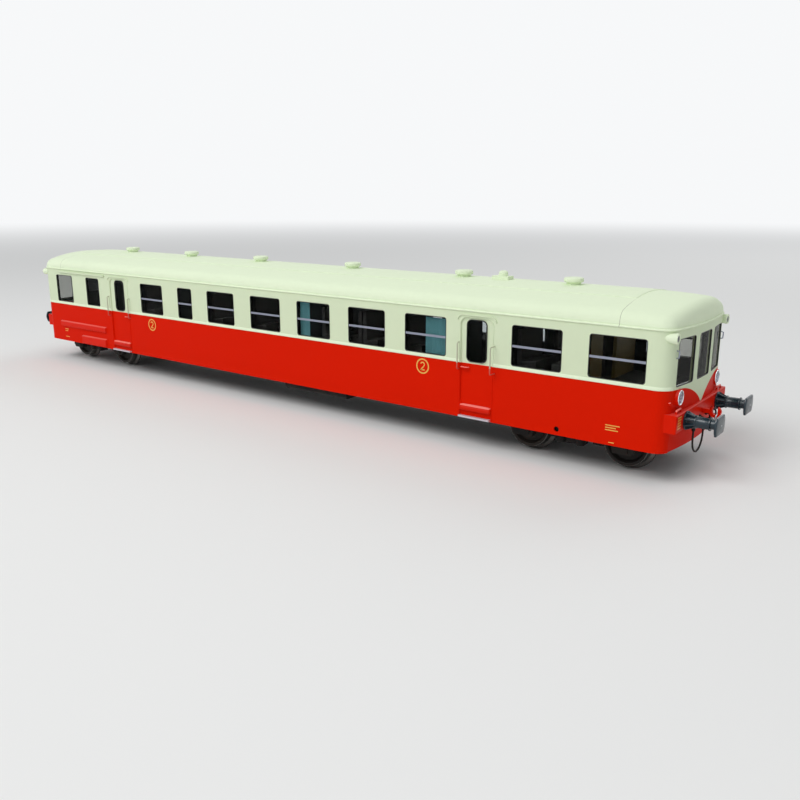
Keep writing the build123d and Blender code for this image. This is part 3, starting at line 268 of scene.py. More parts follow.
# %% Spray skin group
PEEL_SCALE = 2600.0
FINE_SCALE = 700.0
DRIFT_SCALE = 45.0
FINE_SHARE = 0.6
GLOSS_DRIFT = 0.22
BUMP_DEPTH = 0.0001

skin_tree, given, ends = new_group(
    "spray_skin", {"Color": (0.8, 0.8, 0.8), "Gloss": 0.4, "Peel": 0.05, "Drift": 0.05},
    {"Color": "Color", "Roughness": "Float", "Normal": "Vector"},
)
calc = partial(maths, skin_tree)
fine = calc("SUBTRACT", noise(skin_tree, FINE_SCALE, 3.0), 0.5)
drift = calc("SUBTRACT", noise(skin_tree, DRIFT_SCALE, 4.0), 0.5)
drift = calc("MULTIPLY_ADD", fine, FINE_SHARE, drift)
brightness = calc("MULTIPLY_ADD", drift, given["Drift"], 1.0)
peel = noise(skin_tree, PEEL_SCALE, 2.0)
close_group(
    skin_tree, ends,
    Color=put(skin_tree, "HueSaturation", Color=given["Color"], Value=brightness).outputs[0],
    Roughness=calc("MULTIPLY_ADD", drift, GLOSS_DRIFT, given["Gloss"], clamp=True),
    Normal=put(skin_tree, "Bump", Strength=given["Peel"], Distance=BUMP_DEPTH, Height=peel).outputs[0],
)

# %% [markdown]
# The body is red below the waist and cream above. On the ends the cream runs down in a V between
# two round red shoulders, with its tip on the buffer beam. The mask is worked out from the place on
# the model: a height that the paint line has at each distance y from the middle. The shoulders
# follow a superellipse, |u|^p + |v|^p = 1 with p = 1.5, which is fuller than a straight line and
# leaner than a quarter ellipse. Past the shoulders the line rises slowly to the corner.

# %% Two tone mask group
WAIST_Z = 19.85
V_TOP_Z = 19.65
V_TIP_Z = 14.4
V_HALF_WIDTH = 10.5
V_POWER = 1.5
SHOULDER_SLOPE = 0.45
V_START_X = 106.5
PAINT_EDGE = 0.035

mask_tree, given, ends = new_group("two_tone_mask", {}, {"Cream": "Float"})
calc = partial(maths, mask_tree)
along, across, height = place_mm(mask_tree)
reach = calc("DIVIDE", calc("ABSOLUTE", across), V_HALF_WIDTH)
powered = calc("POWER", calc("SUBTRACT", 1.0, reach, clamp=True), V_POWER)
rise = calc("POWER", calc("SUBTRACT", 1.0, powered, clamp=True), 1 / V_POWER)
v_line = calc("MULTIPLY_ADD", rise, V_TOP_Z - V_TIP_Z, V_TIP_Z)
past_shoulder = calc("SUBTRACT", reach, 1.0, clamp=True)
v_line = calc("MULTIPLY_ADD", past_shoulder, SHOULDER_SLOPE, v_line)
on_end = calc("GREATER_THAN", calc("ABSOLUTE", along), V_START_X)
paint_line = calc("MULTIPLY_ADD", on_end, calc("SUBTRACT", v_line, WAIST_Z), WAIST_Z)
above_line = calc("SUBTRACT", height, paint_line)
close_group(mask_tree, ends, Cream=ramp(mask_tree, above_line, -PAINT_EDGE, PAINT_EDGE))

# %% [markdown]
# Things below the body gather dust from the track, more the lower they are. The track_dust group
# gives a mask from height and cloudy noise, and each black finish mixes a dusty brown by it.

# %% Track dust group
CLOUD_SCALE = 260.0
CLOUD_SHARE = 0.7

dust_tree, given, ends = new_group("track_dust", {"Amount": 0.5, "Fades At": 12.0}, {"Dust": "Float"})
calc = partial(maths, dust_tree)
height_share = calc("DIVIDE", place_mm(dust_tree)[2], given["Fades At"])
cloud = ramp(dust_tree, noise(dust_tree, CLOUD_SCALE, 5.0), 0.38, 0.68)
cloud = calc("MULTIPLY_ADD", cloud, CLOUD_SHARE, 1 - CLOUD_SHARE)
dust = calc("MULTIPLY", calc("SUBTRACT", 1.0, height_share, clamp=True), cloud)
close_group(dust_tree, ends, Dust=calc("MULTIPLY", dust, given["Amount"], clamp=True))

# %% [markdown]
# Whatever leans upwards on the red plastic, such as a sill's slope or the top of a beam, mirrors the
# sky softly and looks pink in the photograph. The painted_sky_sheen group mixes that pink in by how far the
# surface faces up.

# %% Painted sky sheen group
# Painted reflection: the colour turns pink by how far the surface faces up, as the sky's sheen would make it
# look.
painted_sheen_tree, given, ends = new_group(
    "painted_sky_sheen", {"Color": (0.7, 0.01, 0.0), "Sheen": (0.92, 0.26, 0.22), "Amount": 0.4}, {"Color": "Color"}
)
facing = put(painted_sheen_tree, "NewGeometry").outputs["True Normal"]
facing_up = put(painted_sheen_tree, "SeparateXYZ", Vector=facing).outputs[2]
share = maths(painted_sheen_tree, "MULTIPLY", ramp(painted_sheen_tree, facing_up, 0.1, 0.6), given["Amount"])
close_group(painted_sheen_tree, ends, Color=mix_colour(painted_sheen_tree, share, given["Color"], given["Sheen"]))

# %% [markdown]
# A clear pane is never wiped quite evenly. The window_smear group gives a low roughness that drifts
# a little over every window.

# %% Window smear group
SMEAR_SCALE = 90.0

smear_tree, given, ends = new_group("window_smear", {}, {"Roughness": "Float"})
smear = maths(smear_tree, "MULTIPLY_ADD", noise(smear_tree, SMEAR_SCALE, 2.0), 0.05, 0.01)
close_group(smear_tree, ends, Roughness=smear)

# %% [markdown]
# A finish is a Principled shader with its colour, roughness and normal from the groups. What is the
# same all over, such as the coat and the index of refraction, is set on the shader itself. A colour
# that changes over the model comes from one of the functions below, which builds it in the tree.
#
# Inside the shell of the body the colour is nearly black for every point that lies deeper than the
# outer skin: painted shade for the dim inside of the body behind the windows. Depth on the flat
# sides is simply how far y is from the outer face.

# %% Colours that change over the model
CREAM = (0.68, 0.775, 0.55)
# The roof's cream is the sides' cream painted lighter: a painted highlight for the light from above. The
# roof, its vents, the marker horns and the waist ledges wear it.
ROOF_LIT_CREAM = (0.79, 0.89, 0.66)
RED = (0.69, 0.012, 0.001)
INSIDE_PAINTED_SHADE = (0.012, 0.012, 0.012)
DUST_BROWN = (0.16, 0.125, 0.09)
SEAM_JOINT_AND_SHADE_COLOUR = (0.38, 0.40, 0.30)
BODY_HALF_WIDTH = 16.65
SKIN_DEPTH = 0.45
SEAM_X = 99.5
SEAM_HALF_WIDTH = 0.045
SEAM_FROM_Y = 7.0
SEAM_LOW_Z = 31.0
WEAVE_SCALE = 800.0
FRONT_CAB_X = 81.5
REAR_BAY_X = -83.5
LOCKER_TOP_Z = 24.5


def two_tone(tree, red=RED, cream=CREAM):
    """Red below the paint line and cream above it."""
    return mix_colour(tree, use_group(tree, mask_tree)["Cream"], red, cream)


def wire_tones(tree):
    """The handrails take both tones a little duller."""
    return two_tone(tree, (0.62, 0.09, 0.06), (0.50, 0.52, 0.38))


def shell_tones(tree):
    """The two tones on the outer skin, and painted shade, nearly black, deeper in."""
    depth = maths(tree, "ABSOLUTE", place_mm(tree)[1])
    outer_skin = maths(tree, "GREATER_THAN", depth, BODY_HALF_WIDTH - SKIN_DEPTH)
    return mix_colour(tree, outer_skin, INSIDE_PAINTED_SHADE, two_tone(tree))


def seamed_cream(tree):
    """The roof's cream, painted lighter than the sides' as if lit from above, with a seam across it near each
    end that fades towards the middle.
    """
    calc = partial(maths, tree)
    x, y, z = place_mm(tree)
    # The seam's dark line is partly the joint between the roof's mouldings and partly painted shade in its
    # groove.
    from_seam = calc("ABSOLUTE", calc("SUBTRACT", calc("ABSOLUTE", x), SEAM_X))
    in_seam = calc("LESS_THAN", from_seam, SEAM_HALF_WIDTH)
    in_seam = calc("MULTIPLY", in_seam, calc("GREATER_THAN", z, SEAM_LOW_Z))
    off_middle = ramp(tree, calc("ABSOLUTE", y), SEAM_FROM_Y, 2 * SEAM_FROM_Y)
    return mix_colour(tree, calc("MULTIPLY", in_seam, off_middle), ROOF_LIT_CREAM, SEAM_JOINT_AND_SHADE_COLOUR)


def with_painted_sheen(amount):
    """Red with a painted reflection of the sky: pink where it leans upwards."""
    return lambda tree: use_group(tree, painted_sheen_tree, Color=RED, Amount=amount)["Color"]


def dusty(colour, amount, fades_at):
    """A colour with track dust over it."""
    def colour_in(tree):
        dust = use_group(tree, dust_tree, Amount=amount, Fades_At=fades_at)["Dust"]
        return mix_colour(tree, dust, colour, DUST_BROWN)
    return colour_in


def woven(tree):
    """Two crossed waves between two dark browns, for the seats' cloth."""
    weave = maths(tree, "MULTIPLY", wave(tree, "X", WEAVE_SCALE), wave(tree, "Y", WEAVE_SCALE))
    return mix_colour(tree, weave, (0.020, 0.016, 0.013), (0.045, 0.034, 0.026))


def partition_tones(tree):
    """Dark along the middle, wood behind the front windows, green below grey in the luggage bay."""
    x, y, z = place_mm(tree)
    front = maths(tree, "GREATER_THAN", x, FRONT_CAB_X)
    saloon = mix_colour(tree, front, (0.030, 0.038, 0.040), (0.20, 0.13, 0.03))
    above = maths(tree, "GREATER_THAN", z, LOCKER_TOP_Z)
    bay = mix_colour(tree, above, (0.02, 0.032, 0.022), (0.33, 0.34, 0.38))
    return mix_colour(tree, maths(tree, "LESS_THAN", x, REAR_BAY_X), saloon, bay)

# %% [markdown]
# The body paint is satin, between matt and gloss. The black mouldings below the body are matt and
# dusty, the buffers a satin blue grey, the windows and lenses clear plastic, and the sash bars
# printed silver. The end windows are smoked a little, because the studio behind them is brighter
# than the scenery in the photograph.

# %% Finishes
PAINT_SHINE = 0.02


def skinned(name, colour, gloss, peel, drift, shine=0.5, **fixed):
    """A material with the spray skin. colour is plain, or a function that builds it in the tree."""
    tree, shader = start_finish(name, Specular_IOR_Level=shine, **fixed)
    colour = colour(tree) if callable(colour) else colour
    skin = use_group(tree, skin_tree, Color=colour, Gloss=gloss, Peel=peel, Drift=drift)
    for result, socket in (("Color", "Base Color"), ("Roughness", "Roughness"), ("Normal", "Normal")):
        join(tree, shader.inputs[socket], skin[result])


skinned("body_paint", shell_tones, 0.36, 0.10, 0.05, PAINT_SHINE)
skinned("end_paint", two_tone, 0.36, 0.10, 0.05, PAINT_SHINE)
skinned("roof_paint", seamed_cream, 0.46, 0.14, 0.05, PAINT_SHINE)
# The three red finishes carry a painted reflection of the sky, pink where they face up: a little on the
# beams, hooks and lamp housings, more on the boards, most on the sills, handles and grips.
skinned("red_paint", with_painted_sheen(0.15), 0.34, 0.10, 0.06, 0.05)
skinned("sill_red", with_painted_sheen(0.9), 0.30, 0.10, 0.12, 0.10)
skinned("board_red", with_painted_sheen(0.35), 0.32, 0.10, 0.10, 0.08)
skinned("black_plastic", dusty((0.007, 0.007, 0.008), 0.2, 14.0), 0.55, 0.25, 0.20, 0.15)
skinned("wheel_black", dusty((0.010, 0.009, 0.009), 0.2, 12.0), 0.50, 0.20, 0.20, 0.15)
skinned("buffer_plastic", dusty((0.009, 0.026, 0.038), 0.04, 20.0), 0.26, 0.12, 0.12)
skinned("gasket_rubber", (0.008, 0.008, 0.008), 0.50, 0.10, 0.10)
skinned("lens_dark", (0.03, 0.035, 0.04), 0.15, 0.03, 0.10, Coat_Weight=0.6)
skinned("step_paint", (0.60, 0.56, 0.62), 0.40, 0.12, 0.12, Metallic=0.3)
skinned("wire_paint", wire_tones, 0.40, 0.10, 0.10)
skinned("mark_yellow", (0.80, 0.42, 0.07), 0.40, 0.05, 0.08)
skinned("seat_finish", woven, 0.70, 0.20, 0.15)
skinned("partition_finish", partition_tones, 0.50, 0.12, 0.10)
skinned("curtain_cloth", (0.12, 0.30, 0.32), 0.80, 0.05, 0.12, 0.10)
skinned("silver_print", (0.32, 0.34, 0.42), 0.34, 0.08, 0.06, Metallic=1.0)
skinned("chrome", (0.80, 0.82, 0.85), 0.10, 0.08, 0.04, Metallic=1.0)
skinned("bowl_metal", (0.38, 0.42, 0.52), 0.12, 0.08, 0.10, Metallic=1.0)
skinned("steel", (0.42, 0.42, 0.43), 0.35, 0.08, 0.15, Metallic=1.0)
skinned("tread_metal", (0.16, 0.15, 0.14), 0.35, 0.08, 0.15, Metallic=1.0)

for name, tint in (("window_clear", (0.72, 0.76, 0.77)), ("window_smoked", (0.50, 0.49, 0.45))):
    tree, shader = start_finish(name, Transmission_Weight=1.0, IOR=1.09, Base_Color=tint)
    join(tree, shader.inputs["Roughness"], use_group(tree, smear_tree)["Roughness"])

tree, shader = start_finish("lens_clear", Transmission_Weight=0.8, IOR=1.49, Base_Color=(0.66, 0.73, 0.86))
flutes = wave(tree, "Y", 900.0)
fluted = put(tree, "Bump", Strength=0.5, Distance=BUMP_DEPTH, Height=flutes).outputs[0]
join(tree, shader.inputs["Normal"], fluted)
join(tree, shader.inputs["Roughness"], maths(tree, "MULTIPLY_ADD", flutes, 0.08, 0.06))
print("finishes", len(finishes))

# %% [markdown]
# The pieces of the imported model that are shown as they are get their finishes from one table. Nodes
# that a finer piece stands for aren't shown, so they aren't listed. The rest, which is the chassis and
# its fittings, is moulded in black plastic.

# %% Give the carried-over pieces their finishes
NODES_WITH = {
    "body_paint": "side_left side_right",
    "roof_paint": "roof_box",
    "window_clear": "glazing_left glazing_right",
    "window_smoked": "glazing_ends",
    "silver_print": "sash_bars",
    "seat_finish": "interior seats",
    "partition_finish": "partitions",
    "steel": "ballast pivot_screws",
    "red_paint": "buffer_beams coupling_hooks",
    "step_paint": "door_steps",
}
finish_of = {node: finish for finish, names in NODES_WITH.items() for node in names.split()}
for name, piece in nodes.items():
    finish = "tread_metal" if name.startswith("axle") else finish_of.get(name, "black_plastic")
    piece.data.materials.clear()
    piece.data.materials.append(finishes[finish])
print("finished nodes", len(nodes))

# %% [markdown]
# New pieces are worked out as arrays in millimetres. A shape is an array of points and a list of
# faces. Most shapes are grids: rows of points that correspond, with a quad between each four.

# %% Grids of points
def points_of(*parts):
    """Arrays or numbers side by side, as the coordinates of points."""
    return np.stack(np.broadcast_arrays(*parts), axis=-1)


def grid_faces(rows, columns, close_columns=False, close_rows=False):
    """Quads over rows of points: each joins a point, the next in its row and the two below them."""
    down = np.arange(rows if close_rows else rows - 1)[:, None]
    across = np.arange(columns if close_columns else columns - 1)
    here = down * columns
    below = (down + 1) % rows * columns
    beside = (across + 1) % columns
    return points_of(here + across, here + beside, below + beside, below + across).reshape(-1, 4).tolist()


def joined(shapes):
    """Several shapes as one."""
    faces = []
    count = 0
    for points, shape_faces in shapes:
        faces += [[index + count for index in face] for face in shape_faces]
        count += len(points)
    return np.concatenate([np.asarray(points, float) for points, shape_faces in shapes]), faces


def flipped(shape):
    """The same shape with its faces turned the other way."""
    return shape[0], [face[::-1] for face in shape[1]]


# %% [markdown]
# The model is the same on both sides, and its rear end is its front end turned round. So a shape is
# worked out once, on the right side or the front end. A mirror image changes the sign of y, which
# turns a shape inside out, so its faces are turned back. Half a turn changes the signs of x and y.

# %% Copies for the other side and end
def on_both_sides(*shapes):
    """The shapes and their mirror image on the other side of the model."""
    points, faces = joined(shapes)
    return joined([(points, faces), flipped((points * (1, -1, 1), faces))])


def at_both_ends(*shapes):
    """The shapes and the same ones turned half round, for the other end."""
    points, faces = joined(shapes)
    return joined([(points, faces), (points * (-1, -1, 1), faces)])


def moved(shape, offset):
    """The shape set down at a place."""
    return np.asarray(shape[0], float) + np.array(offset, float), shape[1]


def four_ways(shape, x, y, z):
    """A front piece at both sides of both ends."""
    return at_both_ends(moved(shape, (x, -y, z)), moved(shape, (x, y, z)))

# %% [markdown]
# Buffers, lamps, vents and wheels are lathe work on the real thing, so they are profiles turned about
# an axis. Rails, hoses and frames are wire, so they are a circle carried along a path. The openings
# for the windows are rectangles with round corners.

# %% Turned shapes, wires and rounded outlines
CORNER_POINTS = 7


def spun(profile, segments):
    """Points (distance along X, radius) turned about the X axis: y is the radius times the cosine of
    the angle, z times its sine. A radius of 0 closes an end."""
    angles = np.linspace(0, 2 * math.pi, segments, endpoint=False)
    rows = [points_of(x, radius * np.cos(angles), radius * np.sin(angles)) for x, radius in profile]
    return flipped((np.concatenate(rows), grid_faces(len(profile), segments, True)))


def tube(path, radius, sides, closed=False):
    """A round tube: a circle square to the path at each of its points. One sideways direction is
    carried along the path, so the tube doesn't twist. Flat caps close it where it is open."""
    path = np.asarray(path, float)
    ahead = np.roll(path, -1, axis=0) - np.roll(path, 1, axis=0) if closed else np.gradient(path, axis=0)
    ahead /= np.linalg.norm(ahead, axis=1)[:, None]
    side = np.zeros_like(path)
    guess = np.array([0.0, 0.0, 1.0]) if abs(ahead[0][2]) < 0.9 else np.array([1.0, 0.0, 0.0])
    for index, direction in enumerate(ahead):
        guess = guess - direction * guess.dot(direction)
        guess /= np.linalg.norm(guess)
        side[index] = guess
    other = np.cross(ahead, side)
    angles = np.linspace(0, 2 * math.pi, sides, endpoint=False)[None, :, None]
    points = path[:, None] + radius * (side[:, None] * np.cos(angles) + other[:, None] * np.sin(angles))
    faces = [face[::-1] for face in grid_faces(len(path), sides, True, closed)]
    if not closed:
        last = (len(path) - 1) * sides
        faces += [list(range(sides)), list(range(last, last + sides))[::-1]]
    return points.reshape(-1, 3), faces


def rounded_loop(width, height, corner):
    """A rounded rectangle about the origin, against the clock: a quarter circle in each corner."""
    points = []
    for number, (sx, sz) in enumerate([(1, 1), (-1, 1), (-1, -1), (1, -1)]):
        angles = np.linspace(0, math.pi / 2, CORNER_POINTS) + number * math.pi / 2
        middle = (sx * (width / 2 - corner), sz * (height / 2 - corner))
        points.append(middle + corner * points_of(np.cos(angles), np.sin(angles)))
    return np.concatenate(points)

# %% [markdown]
# One helper turns a shape into an object. It merges doubled points where a shape is made of several
# that meet, shades it smooth apart from its sharp edges, and says which body it rides on and which
# node it stands for.

# %% From a shape to a piece
SHARP_ANGLE = math.radians(38)
MERGE_METRES = 2e-6


def add_piece(name, shape, finish, body="carbody", stands_for=(), slot=None, kinds=None, merge=False):
    """Make the object. Where finish names more than one, kinds says which it is for each face."""
    points, faces = shape
    mesh = bpy.data.meshes.new(name)
    mesh.from_pydata((np.asarray(points, float) * MM).tolist(), [], faces)
    for one in finish.split():
        mesh.materials.append(finishes[one])
    if kinds is not None:
        mesh.polygons.foreach_set("material_index", np.asarray(kinds, int))
    if merge:
        edit = bmesh.new()
        edit.from_mesh(mesh)
        bmesh.ops.remove_doubles(edit, verts=edit.verts, dist=MERGE_METRES)
        bmesh.ops.recalc_face_normals(edit, faces=edit.faces)
        edit.to_mesh(mesh)
        edit.free()
    mesh.polygons.foreach_set("use_smooth", np.ones(len(mesh.polygons), bool))
    mesh.set_sharp_from_angle(angle=SHARP_ANGLE)
    mesh.update()
    piece = bpy.data.objects.new(name, mesh)
    link(piece)
    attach(piece, body)
    if stands_for:
        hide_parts(*stands_for)
    print(name, "has", len(mesh.polygons), "faces")

# %% [markdown]
# The body's outline from above is a bow at each end, straight sides, and a round corner between
# them. Moving that outline inwards by some distance only changes the two radii, so one function
# gives every parallel line that the walls, the gutter and the roof need. The bow and the corner
# share a tangent where the bow has turned by asin((half width - corner) / (bow - corner)). A place
# on the end is given by how far along the outline it lies from the middle.

# %% The body's outline
HALF_LENGTH = 111.5
HALF_WIDTH = BODY_HALF_WIDTH
BOW_RADIUS = 86.0
CORNER_RADIUS = 3.0
BOW_CENTRE_X = HALF_LENGTH - BOW_RADIUS
MEET_ANGLE = math.asin((HALF_WIDTH - CORNER_RADIUS) / (BOW_RADIUS - CORNER_RADIUS))
SIDE_END_X = BOW_CENTRE_X + (BOW_RADIUS - CORNER_RADIUS) * math.cos(MEET_ANGLE)
BOW_LENGTH = BOW_RADIUS * MEET_ANGLE
HALF_OUTLINE = BOW_LENGTH + CORNER_RADIUS * (math.pi / 2 - MEET_ANGLE)
WALL = 1.0
SKIRT_Z = 7.1
GUTTER_Z = 31.6


def end_outline(along, inset=0.0):
    """Points round the front end and their outward directions. On the bow the turn is the distance
    along over the bow's radius, and past it the rest of the distance over the corner's is added."""
    along = np.asarray(along, float)
    on_bow = np.abs(along) <= BOW_LENGTH
    past_bow = MEET_ANGLE + (np.abs(along) - BOW_LENGTH) / CORNER_RADIUS
    turn = np.where(on_bow, along / BOW_RADIUS, np.sign(along) * past_bow)
    centre_x = np.where(on_bow, BOW_CENTRE_X, SIDE_END_X)
    centre_y = np.where(on_bow, 0.0, np.sign(along) * (HALF_WIDTH - CORNER_RADIUS))
    radius = np.where(on_bow, BOW_RADIUS, CORNER_RADIUS) - inset
    outward = points_of(np.cos(turn), np.sin(turn))
    return points_of(centre_x, centre_y) + outward * radius[..., None], outward


def along_at_y(y):
    """How far along the bow it reaches the distance y: its radius times the arc sine of y over it."""
    return BOW_RADIUS * np.arcsin(np.asarray(y, float) / BOW_RADIUS)


corner_along = np.linspace(BOW_LENGTH, HALF_OUTLINE, 9)
bow_along = np.linspace(-BOW_LENGTH, BOW_LENGTH, 33)[1:-1]


def full_outline(inset):
    """The closed outline's points and outward directions: front end, left side, rear end, right."""
    end, end_out = end_outline(np.concatenate([-corner_along[::-1], bow_along, corner_along]), inset)
    side = points_of(np.linspace(SIDE_END_X, -SIDE_END_X, 72)[1:-1], HALF_WIDTH - inset)
    side_out = np.tile([0.0, 1.0], (len(side), 1))
    return np.concatenate([end, side, -end, -side]), np.concatenate([end_out, side_out, -end_out, -side_out])


def with_height(plan, height):
    """Plan points with a height."""
    return points_of(*plan.T, height)


print("half of an end's outline in mm", round(HALF_OUTLINE, 2))

# %% [markdown]
# The roof is a shallow barrel, a circle of 53 mm radius across, which bends down towards each end
# along a much larger circle. Where it meets the walls a ball of 2.5 mm radius rolls along the edge:
# the ball's centre keeps 2.5 mm from the wall and from the barrel, so with the barrel's slope there
# its height follows, and the rolled edge is the ball's outer side. Rings of points run from the
# ridge outwards, over the roll, down the wall and round the gutter's bead, and back inside.

# %% Roof
CROWN_Z = 37.15
CROWN_RADIUS = 53.0
ROOF_STRAIGHT_X = HALF_LENGTH - 15.0
ROOF_DROP_RADIUS = 147.0
ROLL_RADIUS = 2.5
RIDGE_HALF_X = HALF_LENGTH - 16.0
SLOPE_STEP = 0.01
SHEET_HALF_X = HALF_LENGTH - 12.0
SHEET_HALF_Y = 8.5
SHEET_RISE = 0.12
SHEET_EDGE = 0.10
SHEET_FOOT = -0.1
# inset and height of the gutter's bead and of the shell's inner face, from the wall's outside inwards
GUTTER_PROFILE = [
    (0.0, 32.08), (0.02, 32.03), (-0.08, 32.0), (-0.20, 31.96), (-0.28, 31.88), (-0.30, 31.78),
    (-0.27, 31.68), (-0.18, 31.61), (-0.05, 31.6), (0.95, 31.6), (1.0, 31.65), (1.0, 32.4),
]


def barrel_z(x, y):
    """The barrel roof without its rolled edge: the crown's height, less what a circle across has
    dropped at y and what the end's circle has dropped at x."""
    past = np.maximum(0.0, np.abs(x) - ROOF_STRAIGHT_X)
    across_drop = CROWN_RADIUS - np.sqrt(CROWN_RADIUS**2 - np.asarray(y, float)**2)
    return CROWN_Z - across_drop - (ROOF_DROP_RADIUS - np.sqrt(ROOF_DROP_RADIUS**2 - past**2))


def barrel_rings(shares, drop):
    """Rings of points between the ridge and the roll line, some way below the barrel."""
    rings = []
    for share in shares:
        plan = ridge_line + (roll_line - ridge_line) * share
        rings.append(with_height(plan, barrel_z(*plan.T) - drop))
    return rings


def sheet_axis(half, count):
    """Places across the raised sheet with its edge, and how high they lie above the barrel."""
    inner = half - SHEET_EDGE
    spots = np.concatenate([[-half, -half], np.linspace(-inner, inner, count), [half, half]])
    rise = np.full(len(spots), SHEET_RISE)
    rise[[0, -1]] = SHEET_FOOT
    rise[[1, -2]] = SHEET_RISE - SHEET_EDGE / 2
    return spots, rise


roll_line, roll_out = full_outline(ROLL_RADIUS)
beyond = roll_line + roll_out * SLOPE_STEP
slope_angle = np.arctan((barrel_z(*roll_line.T) - barrel_z(*beyond.T)) / SLOPE_STEP)
ball_z = barrel_z(*roll_line.T) - ROLL_RADIUS / np.cos(slope_angle)
ridge_line = points_of(np.clip(roll_line[:, 0], -RIDGE_HALF_X, RIDGE_HALF_X), 0.0)

roof_rings = barrel_rings(np.linspace(0, 1, 30), 0.0)
for share in np.linspace(0, 1, 10)[1:]:
    lean = slope_angle + (math.pi / 2 - slope_angle) * share
    plan = roll_line + roll_out * (ROLL_RADIUS * np.sin(lean))[:, None]
    roof_rings.append(with_height(plan, ball_z + ROLL_RADIUS * np.cos(lean)))
roof_rings += [with_height(full_outline(inset)[0], height) for inset, height in GUTTER_PROFILE]
roof_rings += barrel_rings(np.linspace(1, 0, 12), WALL)
roof = (np.concatenate(roof_rings), grid_faces(len(roof_rings), len(roll_line), True))

sheet_x, rise_x = sheet_axis(SHEET_HALF_X, 121)
sheet_y, rise_y = sheet_axis(SHEET_HALF_Y, 41)
xs, ys = np.meshgrid(sheet_x, sheet_y, indexing="ij")
sheet_z = barrel_z(xs, ys) + np.minimum.outer(rise_x, rise_y)
sheet_points = points_of(xs, ys, sheet_z).reshape(-1, 3)
sheet = flipped((sheet_points, grid_faces(len(sheet_x), len(sheet_y))))

add_piece("roof_shell", roof, "roof_paint", stands_for=("roof",), slot="cream_paint", merge=True)
add_piece("roof_middle_sheet", sheet, "roof_paint", slot="cream_paint")

# %% [markdown]
# Under the side windows a slim ledge runs where the cream begins. It leans back, so it catches more
# light than the wall does, and it stops at the doors and fades out round the corners of the body. The
# same helper lays any bead along a wall: the section gives how far it stands proud at each height.

# %% Waist ledge
LEDGE_SECTION = [
    (-0.02, 19.84), (0.10, 19.87), (0.18, 19.94), (0.19, 20.04), (0.15, 20.16), (0.03, 20.58), (-0.02, 20.62),
]
LEDGE_FADE = 0.3


def side_bead(low_x, high_x, section, round_front=False, round_rear=False):
    """A bead on the right side, faded out at both ends or carried round a corner of the body."""
    # each row is a point of the plan, its outward direction, and its share of the section's depth
    stops = [low_x, low_x + LEDGE_FADE, high_x - LEDGE_FADE, high_x]
    line = points_of(stops, -HALF_WIDTH, 0.0, -1.0, [0.0, 1.0, 1.0, 0.0])
    corner, corner_out = end_outline(-corner_along[::-1])
    bend = points_of(*corner.T, *corner_out.T, np.linspace(1, 0, len(corner)))
    if round_front:
        line = np.concatenate([line[:2], bend])
    if round_rear:
        line = np.concatenate([(bend * (-1, 1, -1, 1, 1))[::-1], line[2:]])
    rows = []
    for proud, height in section:
        depth = max(proud, 0.0) * line[:, 4:] + min(proud, 0.0)
        rows.append(with_height(line[:, :2] + line[:, 2:4] * depth, height))
    return np.concatenate(rows), grid_faces(len(section), len(line))


ledges = on_both_sides(
    side_bead(-SIDE_END_X, -72.0, LEDGE_SECTION, round_rear=True),
    side_bead(-62.6, 62.3, LEDGE_SECTION),
    side_bead(70.9, SIDE_END_X, LEDGE_SECTION, round_front=True),
)
# The ledge wears the roof's lighter cream, a painted highlight on top of the light its slope catches.
add_piece("waist_ledges", ledges, "roof_paint", slot="cream_paint")

# %% [markdown]
# The end walls are drawn flat first, as a sheet of points over the distance along the outline and the
# height. Then every point of the flat sheet is bent onto the outline. That keeps the windows' rims
# even, which cutting them out of a bent wall wouldn't.

# %% End wall sizes and bending
END_LOW_Z = 20.3
END_HIGH_Z = 29.8
END_WINDOW_CORNER = 0.6
END_CORNER_PILLAR = 3.4
END_PILLAR = 2.2
END_WINDOW_WIDTH = (2 * (HALF_WIDTH - END_CORNER_PILLAR) - 2 * END_PILLAR) / 3
END_WINDOW_Y = [step * (END_WINDOW_WIDTH + END_PILLAR) for step in (-1, 0, 1)]
APRON_TOP_Z = 11.5
APRON_REACH = float(along_at_y(14.3))
APRON_RECESS = 0.25
LIP = 0.07
GRID_STEP = 0.45


def bent(flat, inset):
    """Flat points (along the outline, height) bent onto the front end's wall."""
    plan, outward = end_outline(flat[:, 0])
    return np.concatenate([plan - outward * inset, flat[:, 1:2]], axis=1)


def end_window_loop(y, grow):
    """An end window's rounded outline on the flat sheet. Its width is measured across the model."""
    tall = END_HIGH_Z - END_LOW_Z + 2 * grow
    loop = rounded_loop(END_WINDOW_WIDTH + 2 * grow, tall, END_WINDOW_CORNER + grow)
    return points_of(along_at_y(y + loop[:, 0]), (END_LOW_Z + END_HIGH_Z) / 2 + loop[:, 1])


print("end window width in mm", round(END_WINDOW_WIDTH, 2))

# %% [markdown]
# The flat sheet is filled with an even grid of points that keeps a little off its edges. A
# constrained Delaunay triangulation joins them with the border and the rims of the openings, and
# whatever it lays over an opening is left out.

# %% Flat sheets with openings
KEEP_OFF = 0.55


def inside_loop(points, loop):
    """Which points lie inside a closed loop: a line from each to one side crosses it an odd number
    of times."""
    inside = np.zeros(len(points), bool)
    for (x0, z0), (x1, z1) in zip(loop, np.roll(loop, -1, axis=0)):
        crosses = (z0 > points[:, 1]) != (z1 > points[:, 1])
        with np.errstate(divide="ignore", invalid="ignore"):
            reach = x0 + (points[:, 1] - z0) / (z1 - z0) * (x1 - x0)
        inside ^= crosses & (points[:, 0] < reach)
    return inside


